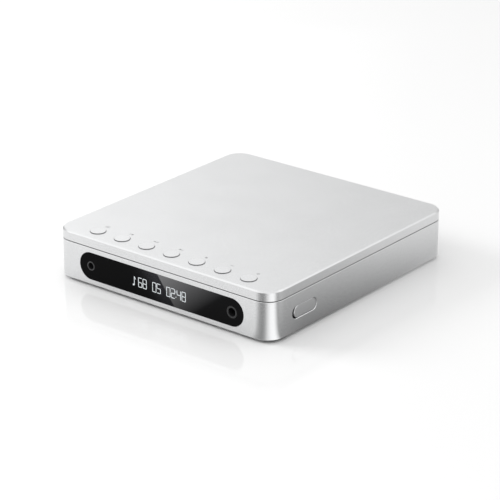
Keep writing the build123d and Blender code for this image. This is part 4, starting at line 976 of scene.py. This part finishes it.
# %% Tones of the cards
CARD_CENTRE = (59.2, -62.7)
CARD_RINGS = (9.6, 14, 20, 30, 40, 55, 70, 90, 110, 135, 145, 158, 175, 195, 220, 320, 640)
CARD_TONES = [(-112, 0.84), (-104, 0.56), (-92, 0.38), (-78, 0.31), (-66, 0.44), (-52, 0.95),
              (-38, 1.28), (-20, 1.34), (-8, 0.86), (2, 0.34), (14, 0.30), (30, 0.30), (45, 0.26),
              (60, 0.22), (75, 0.21), (83, 0.21), (89, 0.20), (95, 0.20)]
SIDE_HEADING, LAST_FADE, LAST_HEADING = 14, 83, 95
SIDE_FACE, OUTWARDS_REACH, OUTWARDS_LIFT = 68.5, 45, 0.31
SIDE_START, BACKWARDS_REACH, BACKWARDS_LIFT = -60, 130, 0.38
BEHIND_START, BEHIND_REACH, FLOOR_TONE = 74, 50, 0.92


def share_of(value, start, reach):
    """How far a value has come along a reach, from 0 to 1."""
    return min(1.0, max(0.0, (value - start) / reach))


def card_tone(heading, brightness, x, y):
    """Along the right side the card gets lighter away from the case and towards the back."""
    if heading < SIDE_HEADING:
        return brightness
    outwards = share_of(x, SIDE_FACE, OUTWARDS_REACH)
    backwards = share_of(y, SIDE_START, BACKWARDS_REACH)
    lifted = brightness + OUTWARDS_LIFT * outwards + BACKWARDS_LIFT * backwards ** 2
    fade = max(share_of(y, BEHIND_START, BEHIND_REACH),
               share_of(heading, LAST_FADE, LAST_HEADING - LAST_FADE))
    return lifted * (1 - fade) + FLOOR_TONE * fade


print(len(CARD_TONES), "headings,", len(CARD_RINGS), "rings")

# %% [markdown]
# The fan's tones are stored on its corners and blend across each face. Its material glows with
# that tone on the upper side and is clear from below. Real grey cards lit by lamps would work too,
# but a tone that glows is set once and doesn't depend on the other lights.

# %% Corner cards
CARD_HEIGHT = 0.5


def corner_cards(name):
    """A fan of card whose brightness goes round with the heading."""
    mesh = bpy.data.meshes.new(name)
    shape = bmesh.new()
    tone_layer = shape.verts.layers.float_color.new("tone")
    columns = []
    for heading, brightness in CARD_TONES:
        angle = math.radians(heading)
        column = []
        for radius in CARD_RINGS:
            x = CARD_CENTRE[0] + radius * math.cos(angle)
            y = CARD_CENTRE[1] + radius * math.sin(angle)
            vert = shape.verts.new((x * MM, y * MM, CARD_HEIGHT * MM))
            vert[tone_layer] = (*grey(card_tone(heading, brightness, x, y)), 1.0)
            column.append(vert)
        columns.append(column)
    for left, right in zip(columns, columns[1:]):
        for i in range(len(CARD_RINGS) - 1):
            shape.faces.new((left[i], left[i + 1], right[i + 1], right[i]))
    shape.to_mesh(mesh)
    shape.free()
    obj = add_object(name, mesh)
    material = bpy.data.materials.new(name)
    material.use_nodes = True
    tree = material.node_tree
    tree.nodes.clear()
    tone_node = tree.nodes.new("ShaderNodeAttribute")
    tone_node.attribute_name = "tone"
    glow, clear = tree.nodes.new("ShaderNodeEmission"), tree.nodes.new("ShaderNodeBsdfTransparent")
    side, mix = tree.nodes.new("ShaderNodeNewGeometry"), tree.nodes.new("ShaderNodeMixShader")
    output = tree.nodes.new("ShaderNodeOutputMaterial")
    tree.links.new(tone_node.outputs["Color"], glow.inputs["Color"])
    tree.links.new(side.outputs["Backfacing"], mix.inputs["Fac"])
    tree.links.new(glow.outputs["Emission"], mix.inputs[1])
    tree.links.new(clear.outputs["BSDF"], mix.inputs[2])
    tree.links.new(mix.outputs["Shader"], output.inputs["Surface"])
    mesh.materials.append(material)
    material.cycles.emission_sampling = "NONE"
    obj.visible_camera = obj.visible_diffuse = obj.visible_shadow = obj.visible_transmission = False
    obj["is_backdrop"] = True
    print(name, len(mesh.polygons), "faces")


corner_cards("corner_cards")

# %% [markdown]
# The window is a mirror as dark as ink, and it needs one clean reflection to look like glass. A
# painted highlight would stay put when the view turns, so this is a real light. It stands close in
# front of the window, tilted, so its edge cuts the window in a diagonal. Light linking lets it
# shine on the window alone, and a limited spread keeps it from glaring when seen from the side.

# %% Window light
# where the reflected edge crosses the window, as (x, z), and how far in front the light stands
EDGE_TOP, EDGE_BOTTOM = (-2.1, 18.4), (9.0, 3.8)
level = math.cos(CAMERA_TILT)
GAZE = Vector((-math.sin(CAMERA_TURN) * level, math.cos(CAMERA_TURN) * level, -math.sin(CAMERA_TILT)))
STANDOFF = 6.0
slide = STANDOFF / GAZE.y
window_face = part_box("front_window")[0].y / MM
edge = Vector((EDGE_BOTTOM[0] - EDGE_TOP[0], 0, EDGE_BOTTOM[1] - EDGE_TOP[1]))
along = edge.normalized()
across = Vector((-along.z, 0, along.x))
edge_middle = Vector(((EDGE_TOP[0] + EDGE_BOTTOM[0]) / 2 + GAZE.x * slide, window_face - STANDOFF,
                      (EDGE_TOP[1] + EDGE_BOTTOM[1]) / 2 + GAZE.z * slide))
LIGHT_WIDTH, LIGHT_HEIGHT, LIGHT_SPREAD = 90.0, 130.0, math.radians(140)
middle = edge_middle + across * (LIGHT_WIDTH / 2)
window_light = softbox("window_light", middle * MM, (middle + Vector((0, 1, 0))) * MM,
                       width=LIGHT_WIDTH * MM, height=LIGHT_HEIGHT * MM, power=1.7)
window_light.data.spread = LIGHT_SPREAD
# the light's own width runs across the edge and its height along it
window_light.rotation_euler = (math.radians(90), math.atan2(across.z, across.x) * -1, 0)
receivers = bpy.data.collections.new("window_only")
receivers.objects.link(nodes["front_window"])
window_light.light_linking.receiver_collection = receivers
grade(window_light, "Y", [(0.37, 0.005), (0.62, 0.62)])
print("window light", [round(v, 1) for v in middle], [round(v, 2) for v in across])

# %% [markdown]
# The Standard view keeps the floor's white white. Filmic views would turn it grey.

# %% Colour view
bpy.context.scene.view_settings.view_transform = "Standard"
bpy.context.scene.view_settings.look = "None"
bpy.context.scene.view_settings.exposure = 0.0
print("view", bpy.context.scene.view_settings.view_transform)

# %% Finish
low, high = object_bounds()
